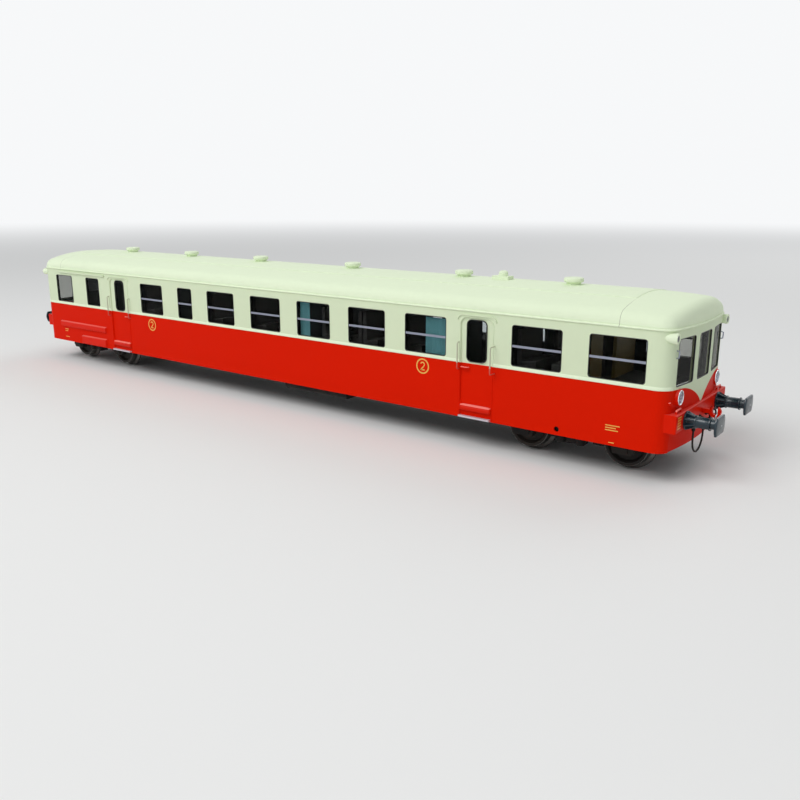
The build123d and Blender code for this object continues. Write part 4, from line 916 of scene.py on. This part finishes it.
def flat_sheet(loops, step):
    """Triangles over a flat sheet. The first loop is its border, the others are holes."""
    def on_sheet(points):
        inside = [inside_loop(points, loop) for loop in loops]
        return inside[0] & ~np.any(inside[1:], axis=0)

    axes = [np.arange(loops[0][:, k].min() + step / 2, loops[0][:, k].max(), step) for k in (0, 1)]
    grid = points_of(*np.meshgrid(*axes, indexing="ij")).reshape(-1, 2)
    keep = on_sheet(grid)
    for loop in loops:
        keep &= np.min(np.linalg.norm(grid[:, None] - loop[None], axis=2), axis=1) > step * KEEP_OFF
    edges = []
    start = 0
    for loop in loops:
        edges += [(start + i, start + (i + 1) % len(loop)) for i in range(len(loop))]
        start += len(loop)
    points = [Vector(point) for point in np.concatenate(loops + [grid[keep]])]
    result = delaunay_2d_cdt(points, edges, [], 1, 1e-6, False)
    made = np.array([tuple(v) for v in result[0]])
    faces = np.array([list(face) for face in result[2]])
    return made, faces[on_sheet(made[faces].mean(axis=1))].tolist()


def strip_between(loops):
    """Faces between loops of points that correspond."""
    return np.concatenate(loops), grid_faces(len(loops), len(loops[0]), True)


def dense_loop(corners, step):
    """A loop of straight sides with points along them."""
    points = []
    for start, stop in zip(np.array(corners), np.roll(corners, -1, axis=0)):
        parts = max(1, int(np.linalg.norm(stop - start) / step))
        points += [start + (stop - start) * part / parts for part in range(parts)]
    return np.array(points)


# %% [markdown]
# A wall has an outer and an inner face, a strip along its border, and a reveal round each window. The
# reveals run from the outer face inwards and start with a small rounding that catches the light. Below
# the beam the wall is cut away, and an apron lies there a little deeper.

# %% End walls
apron_top = [(-APRON_REACH, APRON_TOP_Z), (APRON_REACH, APRON_TOP_Z)]
apron_foot = [(-APRON_REACH, SKIRT_Z), (APRON_REACH, SKIRT_Z)]
border = dense_loop([
    (-HALF_OUTLINE, SKIRT_Z), apron_foot[0], *apron_top, apron_foot[1], (HALF_OUTLINE, SKIRT_Z),
    (HALF_OUTLINE, GUTTER_Z), (-HALF_OUTLINE, GUTTER_Z),
], GRID_STEP)
narrow_loops = [end_window_loop(y, 0.0) for y in END_WINDOW_Y]
wide_loops = [end_window_loop(y, LIP) for y in END_WINDOW_Y]
outer_flat, outer_faces = flat_sheet([border] + wide_loops, GRID_STEP)
inner_flat, inner_faces = flat_sheet([border] + narrow_loops, 3 * GRID_STEP)
wall_shapes = [
    (bent(outer_flat, 0.0), outer_faces), flipped((bent(inner_flat, WALL), inner_faces)),
    strip_between([bent(border, 0.0), bent(border, WALL)]),
]
for wide, narrow in zip(wide_loops, narrow_loops):
    steps = [
        bent(wide + (narrow - wide) * math.sin(turn), LIP * (1 - math.cos(turn)))
        for turn in np.linspace(0, math.pi / 2, 5)
    ]
    wall_shapes.append(flipped(strip_between(steps + [bent(narrow, WALL)])))
apron_flat, apron_faces = flat_sheet([dense_loop(apron_foot + apron_top[::-1], GRID_STEP)], 2 * GRID_STEP)
wall_shapes.append((bent(apron_flat, APRON_RECESS), apron_faces))
front_wall = joined(wall_shapes)
rear_wall = (front_wall[0] * (-1, -1, 1), front_wall[1])
add_piece("end_wall_front", front_wall, "end_paint", stands_for=("end_front",), slot="body_paint", merge=True)
add_piece("end_wall_rear", rear_wall, "end_paint", stands_for=("end_rear",), slot="body_paint", merge=True)

# %% [markdown]
# Each window has a black rubber edge. The windows of the sides and of their doors come from tables of
# middles and widths. A gasket is a loop with a small rounded section. On the sides it lies in a flat
# plane, on the ends it is bent like the wall.

# %% Window gaskets
WINDOW_Z = (20.75, 29.7)
DOOR_Z = (20.3, 29.85)
DOOR_WINDOW_CORNER = 1.2
GASKET_WIDTH = 0.16
GASKET_PROUD = 0.05
GASKET_OVERLAP = 0.04
GASKET_DEPTH = 0.3

# x middle, width
BAY_WINDOWS = [
    (-98.15, 9.4), (-81.7, 7.2), (-50.5, 10.7), (-34.6, 6.4), (-18.85, 11.3), (-0.75, 11.4), (17.0, 11.5),
    (34.8, 11.6), (52.55, 11.7), (81.45, 11.9), (99.45, 12.1),
]
DOOR_WINDOWS = [(-67.1, 4.6), (66.6, 5.2)]


def on_side(sign, u, z, proud):
    """Points on a side wall: u along the model, z up, proud outwards. sign is -1 on the right."""
    return points_of(u, sign * (HALF_WIDTH + proud), z)


def gasket(loop_at):
    """A rounded rim: half a circle's turn carries a loop from its outer edge to its inner one.
    loop_at(grow, depth) gives the points of a loop."""
    rows = [loop_at(GASKET_OVERLAP, GASKET_DEPTH)]
    for turn in np.linspace(0, math.pi, 7):
        part = (1 - math.cos(turn)) / 2
        rows.append(loop_at(GASKET_OVERLAP - GASKET_WIDTH * part, -GASKET_PROUD * math.sin(turn)))
    return strip_between(rows + [loop_at(GASKET_OVERLAP - GASKET_WIDTH, GASKET_DEPTH)])


def side_gasket(x, width, low_z, high_z, corner):
    """The rubber edge of one side window on the right side."""
    def loop_at(grow, depth):
        loop = rounded_loop(width + 2 * grow, high_z - low_z + 2 * grow, corner + grow)
        return on_side(-1, x + loop[:, 0], (low_z + high_z) / 2 + loop[:, 1], -depth)
    return gasket(loop_at)


def end_gasket(y):
    """The rubber edge of one window in the front end."""
    return gasket(lambda grow, depth: bent(end_window_loop(y, grow), depth))


gaskets = [side_gasket(x, width, *WINDOW_Z, END_WINDOW_CORNER) for x, width in BAY_WINDOWS]
gaskets += [side_gasket(x, width, *DOOR_Z, DOOR_WINDOW_CORNER) for x, width in DOOR_WINDOWS]
rubber = joined([on_both_sides(*gaskets), at_both_ends(*[end_gasket(y) for y in END_WINDOW_Y])])
add_piece("window_gaskets", rubber, "gasket_rubber", slot="black_plastic", merge=True)

# %% [markdown]
# Each passenger door has a slim round bead for its frame, which runs up both sides and over the top,
# and a sill whose upper edge slopes. The two boards of the luggage bay have the same sloped edge. All
# of these are red below the waist, and the bead takes its colour from the body's two tone paint.

# %% Door frames, sills and boards
REAR_DOOR_X = -67.3
FRONT_DOOR_X = 66.6
# x middle, leaf width
DOOR_LEAVES = [(REAR_DOOR_X, 9.0), (FRONT_DOOR_X, 8.2)]
FRAME_GAP = 0.25
FRAME_RADIUS = 0.13
FRAME_LOW_Z = 7.5
FRAME_MIDDLE_Z = 15.0
FRAME_TOP_Z = 30.42
FRAME_CORNER = 1.85
SILL_SECTION = [
    (-0.02, 8.95), (0.37, 8.96), (0.44, 9.05), (0.44, 9.60), (0.37, 10.02), (0.10, 10.25), (-0.20, 10.35),
]
# x low, x high, z low, z high
BOARDS = [(-102.1, -75.8, 12.3, 13.8), (-90.0, -76.1, 7.4, 9.8)]
BOARD_PROUD = 0.5
BOARD_SKIN = 0.03
BOARD_OVERHANG = 0.2

frame_shapes = []
sill_shapes = []
arc = np.linspace(0, math.pi / 2, 9)
arc_z = FRAME_TOP_Z - FRAME_CORNER + FRAME_CORNER * np.sin(arc)
for middle, leaf in DOOR_LEAVES:
    half = leaf / 2 + FRAME_GAP
    arc_x = half - FRAME_CORNER + FRAME_CORNER * np.cos(arc)
    frame_u = np.concatenate([[half, half], arc_x, -arc_x[::-1], [-half, -half]])
    frame_z = np.concatenate([
        [FRAME_LOW_Z, FRAME_MIDDLE_Z], arc_z, arc_z[::-1], [FRAME_MIDDLE_Z, FRAME_LOW_Z],
    ])
    frame_shapes.append(tube(on_side(-1, middle + frame_u, frame_z, 0.0), FRAME_RADIUS, 10))
    sill_shapes.append(side_bead(middle - leaf / 2, middle + leaf / 2, SILL_SECTION))
board_shapes = []
for low_x, high_x, low_z, high_z in BOARDS:
    proud = BOARD_PROUD + BOARD_SKIN
    section = [
        (-0.02, low_z - BOARD_SKIN), (BOARD_PROUD - 0.05, low_z - BOARD_SKIN), (proud, low_z + 0.05),
        (proud, high_z - 0.1), (BOARD_PROUD - 0.02, high_z + BOARD_SKIN), (-0.02, high_z + 0.35),
    ]
    board_shapes.append(side_bead(low_x - BOARD_OVERHANG, high_x + BOARD_OVERHANG, section))
add_piece("door_frames", on_both_sides(*frame_shapes), "end_paint", slot="body_paint")
# The sills and the boards are red with a painted pink reflection of the sky on their upward slopes.
add_piece("door_sills", on_both_sides(*sill_shapes), "sill_red", slot="red_paint")
add_piece("luggage_boards", on_both_sides(*board_shapes), "board_red", slot="red_paint")

# %% [markdown]
# The buffers are turned parts: a foot with eight gusset ribs, two collars on the sleeve, and a plunger
# whose head is a disc with its top and bottom cut off. The head's face is slightly domed.

# %% Buffers
BEAM_FRONT_X = HALF_LENGTH + 0.5
BUFFER_FACE_X = HALF_LENGTH + 7.4
BUFFER_Y = 10.05
BUFFER_Z = 13.2
HEAD_RADIUS = 2.9
HEAD_HALF_HEIGHT = 1.85
HEAD_POINTS = 72
RIB_COUNT = 8
RIB_HALF_THICKNESS = 0.15

# distance from the beam and radius
FOOT_PROFILE = [
    (0.0, 0.0), (0.0, 1.90), (0.05, 1.95), (0.25, 1.95), (0.30, 1.88), (0.32, 1.12), (0.45, 1.0), (1.8, 1.0),
    (1.9, 1.08), (1.9, 1.33), (1.95, 1.38), (2.15, 1.38), (2.20, 1.33), (2.21, 1.20), (2.26, 1.18),
    (4.64, 1.18), (4.69, 1.20), (4.70, 1.33), (4.75, 1.38), (4.95, 1.38), (5.0, 1.33), (5.0, 0.0),
]
RIB_SIDE = [(0.28, 0.9), (0.28, 1.93), (1.9, 1.24), (1.9, 0.9)]
RIB_FACES = [[3, 2, 1, 0], [4, 5, 6, 7], [0, 1, 5, 4], [1, 2, 6, 5], [2, 3, 7, 6], [3, 0, 4, 7]]
# distance from the head's face, how far the outline is shrunk, and its scale
HEAD_ROWS = [(-0.6, 0.0, 0.0), (-0.6, 0.06, 1.0), (-0.54, 0.0, 1.0), (-0.24, 0.0, 1.0), (-0.18, 0.03, 1.0)]
HEAD_ROWS += [(-0.14 * (1 - share)**2, 0.10, 1 - share) for share in (0.0, 0.25, 0.5, 0.75, 1.0)]
PLUNGER_PROFILE = [(-1.95, 0.0), (-1.95, 1.0), (-0.75, 1.0), (-0.6, 1.2), (-0.6, 0.0)]
DOT_PROFILE = [(-0.02, 0.22), (0.03, 0.20), (0.04, 0.0)]

foot_shapes = [spun(FOOT_PROFILE, 40)]
for angle in 2 * math.pi * (np.arange(RIB_COUNT) + 0.5) / RIB_COUNT:
    outward = np.array([math.cos(angle), math.sin(angle)])
    sideways = np.array([-math.sin(angle), math.cos(angle)])
    rib_points = [
        (x, *(outward * radius + sideways * half))
        for half in (-RIB_HALF_THICKNESS, RIB_HALF_THICKNESS) for x, radius in RIB_SIDE
    ]
    foot_shapes.append((rib_points, RIB_FACES))

head_angles = np.linspace(0, 2 * math.pi, HEAD_POINTS, endpoint=False)
head_loops = []
for x, shrink, scale in HEAD_ROWS:
    limit = HEAD_HALF_HEIGHT - shrink
    wide = (HEAD_RADIUS - shrink) * np.cos(head_angles)
    tall = np.clip((HEAD_RADIUS - shrink) * np.sin(head_angles), -limit, limit)
    head_loops.append(points_of(x, wide * scale, tall * scale))
head = joined([flipped(strip_between(head_loops)), spun(PLUNGER_PROFILE, 40)])

add_piece(
    "buffer_feet", four_ways(joined(foot_shapes), BEAM_FRONT_X, BUFFER_Y, BUFFER_Z), "buffer_plastic",
    stands_for=("buffer_stocks",), slot="buffer_plastic", merge=True,
)
add_piece(
    "buffer_discs", four_ways(head, BUFFER_FACE_X, BUFFER_Y, BUFFER_Z), "buffer_plastic",
    stands_for=("buffer_heads",), slot="buffer_plastic", merge=True,
)
dots = four_ways(spun(DOT_PROFILE, 20), BUFFER_FACE_X, BUFFER_Y, BUFFER_Z)
add_piece("buffer_dots", dots, "steel", slot="axle_steel")

# %% [markdown]
# A headlamp is a red housing with a chrome rim, a bright bowl behind, and a clear fluted lens that
# bulges a little. The marker lamps are cream horns on the upper corners with a dark lens. Profiles
# run along the lamp from its front, with the radius second.

# %% Lamps
HEADLAMP_Y = 11.7
HEADLAMP_PLACE = (float(end_outline(along_at_y(HEADLAMP_Y))[0][0]) + 0.4, HEADLAMP_Y, 18.0)
MARKER_PLACE = (HALF_LENGTH - 0.4, 15.7, 30.3)
HOUSING_PROFILE = [
    (-1.3, 0.0), (-1.3, 1.75), (-0.10, 1.75), (-0.03, 1.73), (0.0, 1.68), (0.0, 1.60), (-0.05, 1.56),
    (-0.45, 1.56), (-0.5, 0.0),
]
RIM_PROFILE = [
    (-0.10, 1.57), (0.03, 1.57), (0.10, 1.53), (0.12, 1.46), (0.09, 1.38), (0.02, 1.32), (-0.10, 1.30),
]
BOWL_PROFILE = [(-0.10, 1.33), (-0.25, 1.1), (-0.38, 0.7), (-0.44, 0.3), (-0.45, 0.0)]
GLASS_PROFILE = [
    (-0.12, 0.0), (-0.12, 1.30), (-0.02, 1.32), (0.06, 1.22), (0.13, 0.95), (0.18, 0.6), (0.20, 0.3),
    (0.205, 0.0),
]
HORN_PROFILE = [
    (-2.8, 0.0), (-2.75, 0.35), (-2.5, 0.62), (-1.8, 0.86), (-1.0, 1.0), (-0.5, 1.05), (-0.08, 1.05),
    (0.0, 1.0), (0.0, 0.78), (-0.06, 0.68), (-0.4, 0.66), (-0.45, 0.0),
]
EYE_PROFILE = [(-0.35, 0.0), (-0.35, 0.66), (-0.12, 0.62), (-0.02, 0.42), (0.02, 0.2), (0.03, 0.0)]

# name, profile, points round it, place, finish, node it stands for, slot
LAMP_PIECES = [
    ("headlamp_housings", HOUSING_PROFILE, 48, HEADLAMP_PLACE, "red_paint", "headlamps", "red_paint"),
    ("headlamp_rims", RIM_PROFILE, 48, HEADLAMP_PLACE, "chrome", None, "silver_bar"),
    ("headlamp_bowls", BOWL_PROFILE, 48, HEADLAMP_PLACE, "bowl_metal", None, "silver_bar"),
    ("headlamp_glasses", GLASS_PROFILE, 48, HEADLAMP_PLACE, "lens_clear", "headlamp_lenses", "lens_clear"),
    ("marker_horns", HORN_PROFILE, 40, MARKER_PLACE, "roof_paint", "marker_lamps", "cream_paint"),
    ("marker_glasses", EYE_PROFILE, 40, MARKER_PLACE, "lens_dark", "marker_lamp_lenses", "lens_dark"),
]
for name, profile, segments, where, finish, node, slot in LAMP_PIECES:
    shape = four_ways(spun(profile, segments), *where)
    add_piece(name, shape, finish, stands_for=(node,) if node else (), slot=slot, merge=True)

# %% [markdown]
# Six ventilators stand along the roof. Each is a low mushroom, a narrow neck under a wide flat cap. It
# is turned about the X axis like the other lathe work and then stood upright.

# %% Roof vents
VENT_X = [-81.7, -50.8, -19.2, 16.5, 52.25, 81.4]
# height above the sheet and radius
VENT_PROFILE = [
    (-0.1, 0.0), (-0.1, 1.66), (0.03, 1.62), (0.15, 1.60), (0.34, 1.60), (0.42, 1.68), (0.55, 1.98),
    (0.64, 2.15), (0.76, 2.20), (1.28, 2.20), (1.42, 2.15), (1.52, 2.00), (1.58, 1.70), (1.60, 1.30),
    (1.60, 0.0),
]
lying_points, vent_faces = spun(VENT_PROFILE, 48)
vent = (points_of(-lying_points[:, 2], lying_points[:, 1], lying_points[:, 0]), vent_faces)
vents = joined([moved(vent, (x, 0, CROWN_Z + SHEET_RISE)) for x in VENT_X])
add_piece("vent_caps", vents, "roof_paint", stands_for=("roof_vents",), slot="cream_paint", merge=True)

# %% [markdown]
# The hoses are stiff loops that leave the beam forwards, bend down, turn under in a half circle and
# come back up. Each leg has a foot on the beam and a thicker collar below its bend. The link in the
# hook is a long ring of round wire.

# %% Hoses and coupling links
HOSE_RADIUS = 0.2
HOSE_X = BEAM_FRONT_X + 1.0
HOSE_TOP_Z = 12.1
HOSE_BEND = 0.5
HOSE_FOOT_RADIUS = 0.45
COLLAR_RADIUS = 0.38
# y of the first leg, y of the second leg, lowest z
HOSE_LOOPS = [(-8.0, -1.6, 5.6), (2.4, 6.4, 8.6)]
LINK_X = BEAM_FRONT_X + 2.95
LINK_Z = 12.0
LINK_REACH = (0.28, 0.85, 1.05)
LINK_WIRE = 0.16

hose_shapes = []
for y_first, y_second, low_z in HOSE_LOOPS:
    span = (y_second - y_first) / 2
    start_x = HOSE_X - HOSE_BEND
    start_z = HOSE_TOP_Z - HOSE_BEND
    down = [(BEAM_FRONT_X, y_first, HOSE_TOP_Z)] + [
        (start_x + HOSE_BEND * math.sin(a), y_first, start_z + HOSE_BEND * math.cos(a))
        for a in np.linspace(0, math.pi / 2, 8)
    ]
    under = [
        (HOSE_X, y_first + span - span * math.cos(a), low_z + span - span * math.sin(a))
        for a in np.linspace(0, math.pi, 29)
    ]
    up = [(x, y_second, z) for x, y, z in down[::-1]]
    hose_shapes.append(tube(down + under + up, HOSE_RADIUS, 14))
    for y in (y_first, y_second):
        foot = [(BEAM_FRONT_X - 0.02, y, HOSE_TOP_Z), (BEAM_FRONT_X + 0.35, y, HOSE_TOP_Z)]
        hose_shapes.append(tube(foot, HOSE_FOOT_RADIUS, 18))
        hose_shapes.append(tube([(HOSE_X, y, 11.2), (HOSE_X, y, 10.7)], COLLAR_RADIUS, 16))
hoses = at_both_ends(*hose_shapes)
add_piece("hose_loops", hoses, "black_plastic", stands_for=("brake_hoses",), slot="black_plastic")

turn = np.linspace(0, 2 * math.pi, 40, endpoint=False)
ring = points_of(np.cos(turn), np.sin(turn), np.cos(turn)) * LINK_REACH + (LINK_X, 0.0, LINK_Z)
add_piece("coupling_links", at_both_ends(tube(ring, LINK_WIRE, 10, closed=True)), "steel", slot="axle_steel")

# %% [markdown]
# The wheels are spun from their real section, with the small flange, the coned tread and a dished
# face. Only the tread and the flange are bare metal, so each face of the mesh knows which of the two
# finishes it has.

# %% Wheels
AXLE_Z = 6.0
WHEEL_INNER_Y = 7.2
WHEEL_SEGMENTS = 80
BOGIE_CENTRE_X = HALF_LENGTH - 23.0
AXLE_HALF_SPACING = 11.5
# distance from the wheel's back and radius
WHEEL_PROFILE = [
    (0.0, 0.75), (0.0, 1.75), (0.08, 1.82), (0.55, 1.95), (0.68, 2.1), (0.7, 2.3), (0.7, 3.6), (0.62, 3.8),
    (0.1, 4.12), (0.0, 4.25), (0.0, 5.75), (0.06, 5.88), (0.16, 5.97), (0.28, 6.0), (0.42, 5.95),
    (0.56, 5.75), (0.68, 5.35), (0.8, 5.1), (0.95, 5.02), (1.2, 5.0), (2.7, 4.9), (2.78, 4.86), (2.8, 4.78),
    (2.8, 4.28), (2.72, 4.16), (1.95, 3.85), (1.82, 3.7), (1.8, 3.5), (1.8, 2.2), (1.85, 2.05), (2.5, 1.86),
    (2.6, 1.78), (2.6, 0.75),
]
# the rows of the profile between which the metal is bare
TREAD_ROWS = (9, 22)

lying_points, wheel_faces = spun(WHEEL_PROFILE, WHEEL_SEGMENTS)
wheel_points = points_of(-lying_points[:, 1], lying_points[:, 0], lying_points[:, 2])
wheel_pair = on_both_sides(moved((wheel_points, wheel_faces), (0, WHEEL_INNER_Y, AXLE_Z)))
wheel_row = np.repeat(np.arange(len(WHEEL_PROFILE) - 1), WHEEL_SEGMENTS)
wheel_kind = ((wheel_row >= TREAD_ROWS[0]) & (wheel_row < TREAD_ROWS[1])).astype(int)
axle_places = [
    end * BOGIE_CENTRE_X + step * AXLE_HALF_SPACING for end in (1, -1) for step in (1, -1)
]
for number, x in enumerate(axle_places, start=1):
    add_piece(
        f"wheel_pair_{number}", moved(wheel_pair, (x, 0, 0)), "wheel_black tread_metal", f"wheelset_{number}",
        stands_for=(f"wheels_{number}",), slot="wheel_metal", kinds=np.tile(wheel_kind, 2),
    )

# %% [markdown]
# The class mark is a ring with a plain number in it. Its strokes are flat ribbons that lie on the
# paint, drawn along arcs and lines. Short bars stand where the small print would be.

# %% Marks
MARK_PROUD = 0.025
DIGIT_STROKE = 0.30
FOOT_STROKE = 0.28
MARK_PLACES = [(51.9, 17.6), (-51.1, 17.3)]
MARK_RADIUS = 1.85
STROKE = 0.34
# x low, x high, z middle, height
PRINT_BARS = [
    (97.9, 101.0, 11.35, 0.22), (97.9, 100.2, 10.85, 0.22), (97.9, 100.7, 10.35, 0.22),
    (98.8, 100.0, 7.75, 0.2), (-100.4, -98.5, 11.2, 0.22), (-100.4, -98.9, 10.6, 0.22),
    (-100.4, -98.3, 8.6, 0.22),
]


def ribbon(path, width):
    """A flat stroke along a path of (u, z) points: two rows of points."""
    ahead = np.gradient(np.asarray(path, float), axis=0)
    ahead /= np.linalg.norm(ahead, axis=1)[:, None]
    aside = points_of(-ahead[:, 1], ahead[:, 0]) * width / 2
    return np.concatenate([path + aside, path - aside]), grid_faces(2, len(path))


def on_paint(flat_shape, x, z, sign):
    """A flat shape laid on a side, readable from outside."""
    flat, faces = flat_shape
    return on_side(sign, x - sign * flat[:, 0], z + flat[:, 1], MARK_PROUD), faces


turn = np.linspace(0, 2 * math.pi, 61)
mark_ring = ribbon(points_of(np.cos(turn), np.sin(turn)) * (MARK_RADIUS - STROKE / 2), STROKE)
turn = np.radians(np.linspace(165, -42, 26))
hook = points_of(0.52 * np.cos(turn), 0.42 + 0.50 * np.sin(turn))
digit = joined([
    ribbon(np.concatenate([hook, [(0.1, -0.25), (-0.3, -0.62), (-0.52, -0.9)]]), DIGIT_STROKE),
    ribbon([(-0.62, -0.88), (0.62, -0.88)], FOOT_STROKE),
])
mark_shapes = []
for sign in (-1, 1):
    for x, z in MARK_PLACES:
        mark_shapes += [on_paint(mark_ring, x, z, sign), on_paint(digit, x, z, sign)]
    for low, high, z, tall in PRINT_BARS:
        half = (high - low) / 2
        mark_shapes.append(on_paint(ribbon([(-half, 0), (half, 0)], tall), (low + high) / 2, z, sign))
add_piece("painted_marks", joined(mark_shapes), "mark_yellow", slot="body_paint")

# %% [markdown]
# The handrails are thin wires in front of the wall, on the solid rails' own line. They leave the wall
# straight, bend round a quarter circle and run up beside the door.

# %% Handrails
RAIL_WIRE = 0.15
RAIL_LOW_Z = 18.4
RAIL_HIGH_Z = 24.5
RAIL_BEND = 0.4
# x, how far it stands off the wall
RAILS = [
    (REAR_DOOR_X - 5.4, 0.8), (REAR_DOOR_X + 5.4, 0.8), (FRONT_DOOR_X - 4.5, 0.9), (FRONT_DOOR_X + 4.8, 2.0),
]

rail_shapes = []
turn = np.linspace(0, math.pi / 2, 7)
bend_z = RAIL_LOW_Z + RAIL_BEND - RAIL_BEND * np.cos(turn)
rail_z = np.concatenate([[RAIL_LOW_Z], bend_z, RAIL_LOW_Z + RAIL_HIGH_Z - bend_z[::-1], [RAIL_HIGH_Z]])
for x, stand_off in RAILS:
    bend_y = stand_off - RAIL_BEND + RAIL_BEND * np.sin(turn)
    rail_y = np.concatenate([[0.0], bend_y, bend_y[::-1], [0.0]])
    rail_shapes.append(tube(on_side(-1, x, rail_z, rail_y), RAIL_WIRE, 12))
rails = on_both_sides(*rail_shapes)
add_piece("wire_rails", rails, "wire_paint", stands_for=("handrails",), slot="wire_dark")

# %% [markdown]
# Behind two windows of the right side a drawn curtain hangs against the glass. Its folds are a cosine
# wave along the model. The beams carry small printed bars, which are blank here.

# %% Curtains and beam print
CURTAIN_FRONT_Y = -15.05
CURTAIN_BACK_Y = -14.93
CURTAIN_FOLD = 0.85
FOLD_DEPTH = 0.025
# x low, x high, z low, z high
CURTAINS = [(11.1, 14.5, 19.8, 29.5), (51.7, 57.6, 19.8, 29.1)]
# y middle, width, z middle
BEAM_BARS = [
    (-14.0, 2.0, 14.6), (-14.0, 2.0, 14.05), (-14.1, 1.8, 13.5), (-14.0, 2.0, 12.95), (-14.1, 1.8, 12.4),
]
BAR_HALF_HEIGHT = 0.11
BAR_X = (BEAM_FRONT_X - 0.05, BEAM_FRONT_X + 0.025)
BAR_FACES = [[0, 1, 3, 2], [4, 6, 7, 5], [0, 4, 5, 1], [2, 3, 7, 6], [0, 2, 6, 4], [1, 5, 7, 3]]

curtain_shapes = []
for low_x, high_x, low_z, high_z in CURTAINS:
    x = np.linspace(low_x, high_x, 61)
    fold_y = CURTAIN_FRONT_Y + FOLD_DEPTH * np.cos(2 * math.pi * x / CURTAIN_FOLD)
    ring = np.concatenate([points_of(x, fold_y), [(high_x, CURTAIN_BACK_Y), (low_x, CURTAIN_BACK_Y)]])
    count = len(ring)
    cloth_points, cloth_faces = strip_between([with_height(ring, low_z), with_height(ring, high_z)])
    cloth_faces += [list(range(count))[::-1], list(range(count, 2 * count))]
    curtain_shapes.append((cloth_points, cloth_faces))
add_piece("curtains", joined(curtain_shapes), "curtain_cloth", slot="body_paint")

bar_shapes = []
for y, width, z in BEAM_BARS:
    bar_y = (y - width / 2, y + width / 2)
    bar_z = (z - BAR_HALF_HEIGHT, z + BAR_HALF_HEIGHT)
    bar_shapes.append(([(bx, by, bz) for bx in BAR_X for by in bar_y for bz in bar_z], BAR_FACES))
add_piece("beam_print", at_both_ends(*bar_shapes), "mark_yellow", slot="body_paint")

# %% [markdown]
# Small fittings: the doors' handles, a bracket beside each end window, and on the beam below each
# headlamp a low grip with a small lug on the body's corner beside it.

# %% Small fittings
HANDLE_REACH = 0.45
HANDLE_RADIUS = 0.2
# x low, x high, z
HANDLES = [(62.9, 64.7, 18.9), (-64.4, -62.6, 18.6)]
BRACKET_ALONG = along_at_y(-13.95)
# how far it stands off the end, how far to the side, height
BRACKET_PATH = [(0, 0, 26.2), (0.45, -0.05, 26.3), (0.5, -0.05, 27.0), (0.5, -0.05, 27.6), (0, 0, 27.7)]
BRACKET_RADIUS = 0.14
GRIP_X = BEAM_FRONT_X - 0.75
GRIP_RADIUS = 0.22
GRIP_LOW_Z = 15.1
GRIP_TOP_Z = 15.8
GRIP_PATH = [
    (-14.1, GRIP_LOW_Z), (-14.1, GRIP_TOP_Z - 0.15), (-13.95, GRIP_TOP_Z), (-11.75, GRIP_TOP_Z),
    (-11.6, GRIP_TOP_Z - 0.15), (-11.6, GRIP_LOW_Z),
]
LUG_ALONG = along_at_y(-15.0)
LUG_Z = 17.3
LUG_RADIUS = 0.28

handle_shapes = []
for x_low, x_high, z in HANDLES:
    path = [
        (x_low, 0.0), (x_low, HANDLE_REACH - 0.1), (x_low + 0.12, HANDLE_REACH),
        (x_high - 0.12, HANDLE_REACH), (x_high, HANDLE_REACH - 0.1), (x_high, 0.0),
    ]
    handle_shapes.append(tube([(x, -HALF_WIDTH - off, z) for x, off in path], HANDLE_RADIUS, 10))
# The handles are red with a strong painted pink reflection where they face up.
add_piece("door_handles", on_both_sides(*handle_shapes), "sill_red", slot="red_paint")

bracket_x, bracket_y = end_outline(BRACKET_ALONG)[0]
path = [(bracket_x + off, bracket_y + aside, z) for off, aside, z in BRACKET_PATH]
bracket = tube(path, BRACKET_RADIUS, 10)
add_piece("end_brackets", at_both_ends(on_both_sides(bracket)), "silver_print", slot="silver_bar")

grip = tube([(GRIP_X, y, z) for y, z in GRIP_PATH], GRIP_RADIUS, 10)
lug_place, lug_out = end_outline(LUG_ALONG)
lug = tube([(*(lug_place + off * lug_out), LUG_Z) for off in (-0.1, 0.42)], LUG_RADIUS, 14)
# The grips and lugs are red with a strong painted pink reflection where they face up.
add_piece("beam_grips", at_both_ends(on_both_sides(grip, lug)), "sill_red", slot="red_paint")
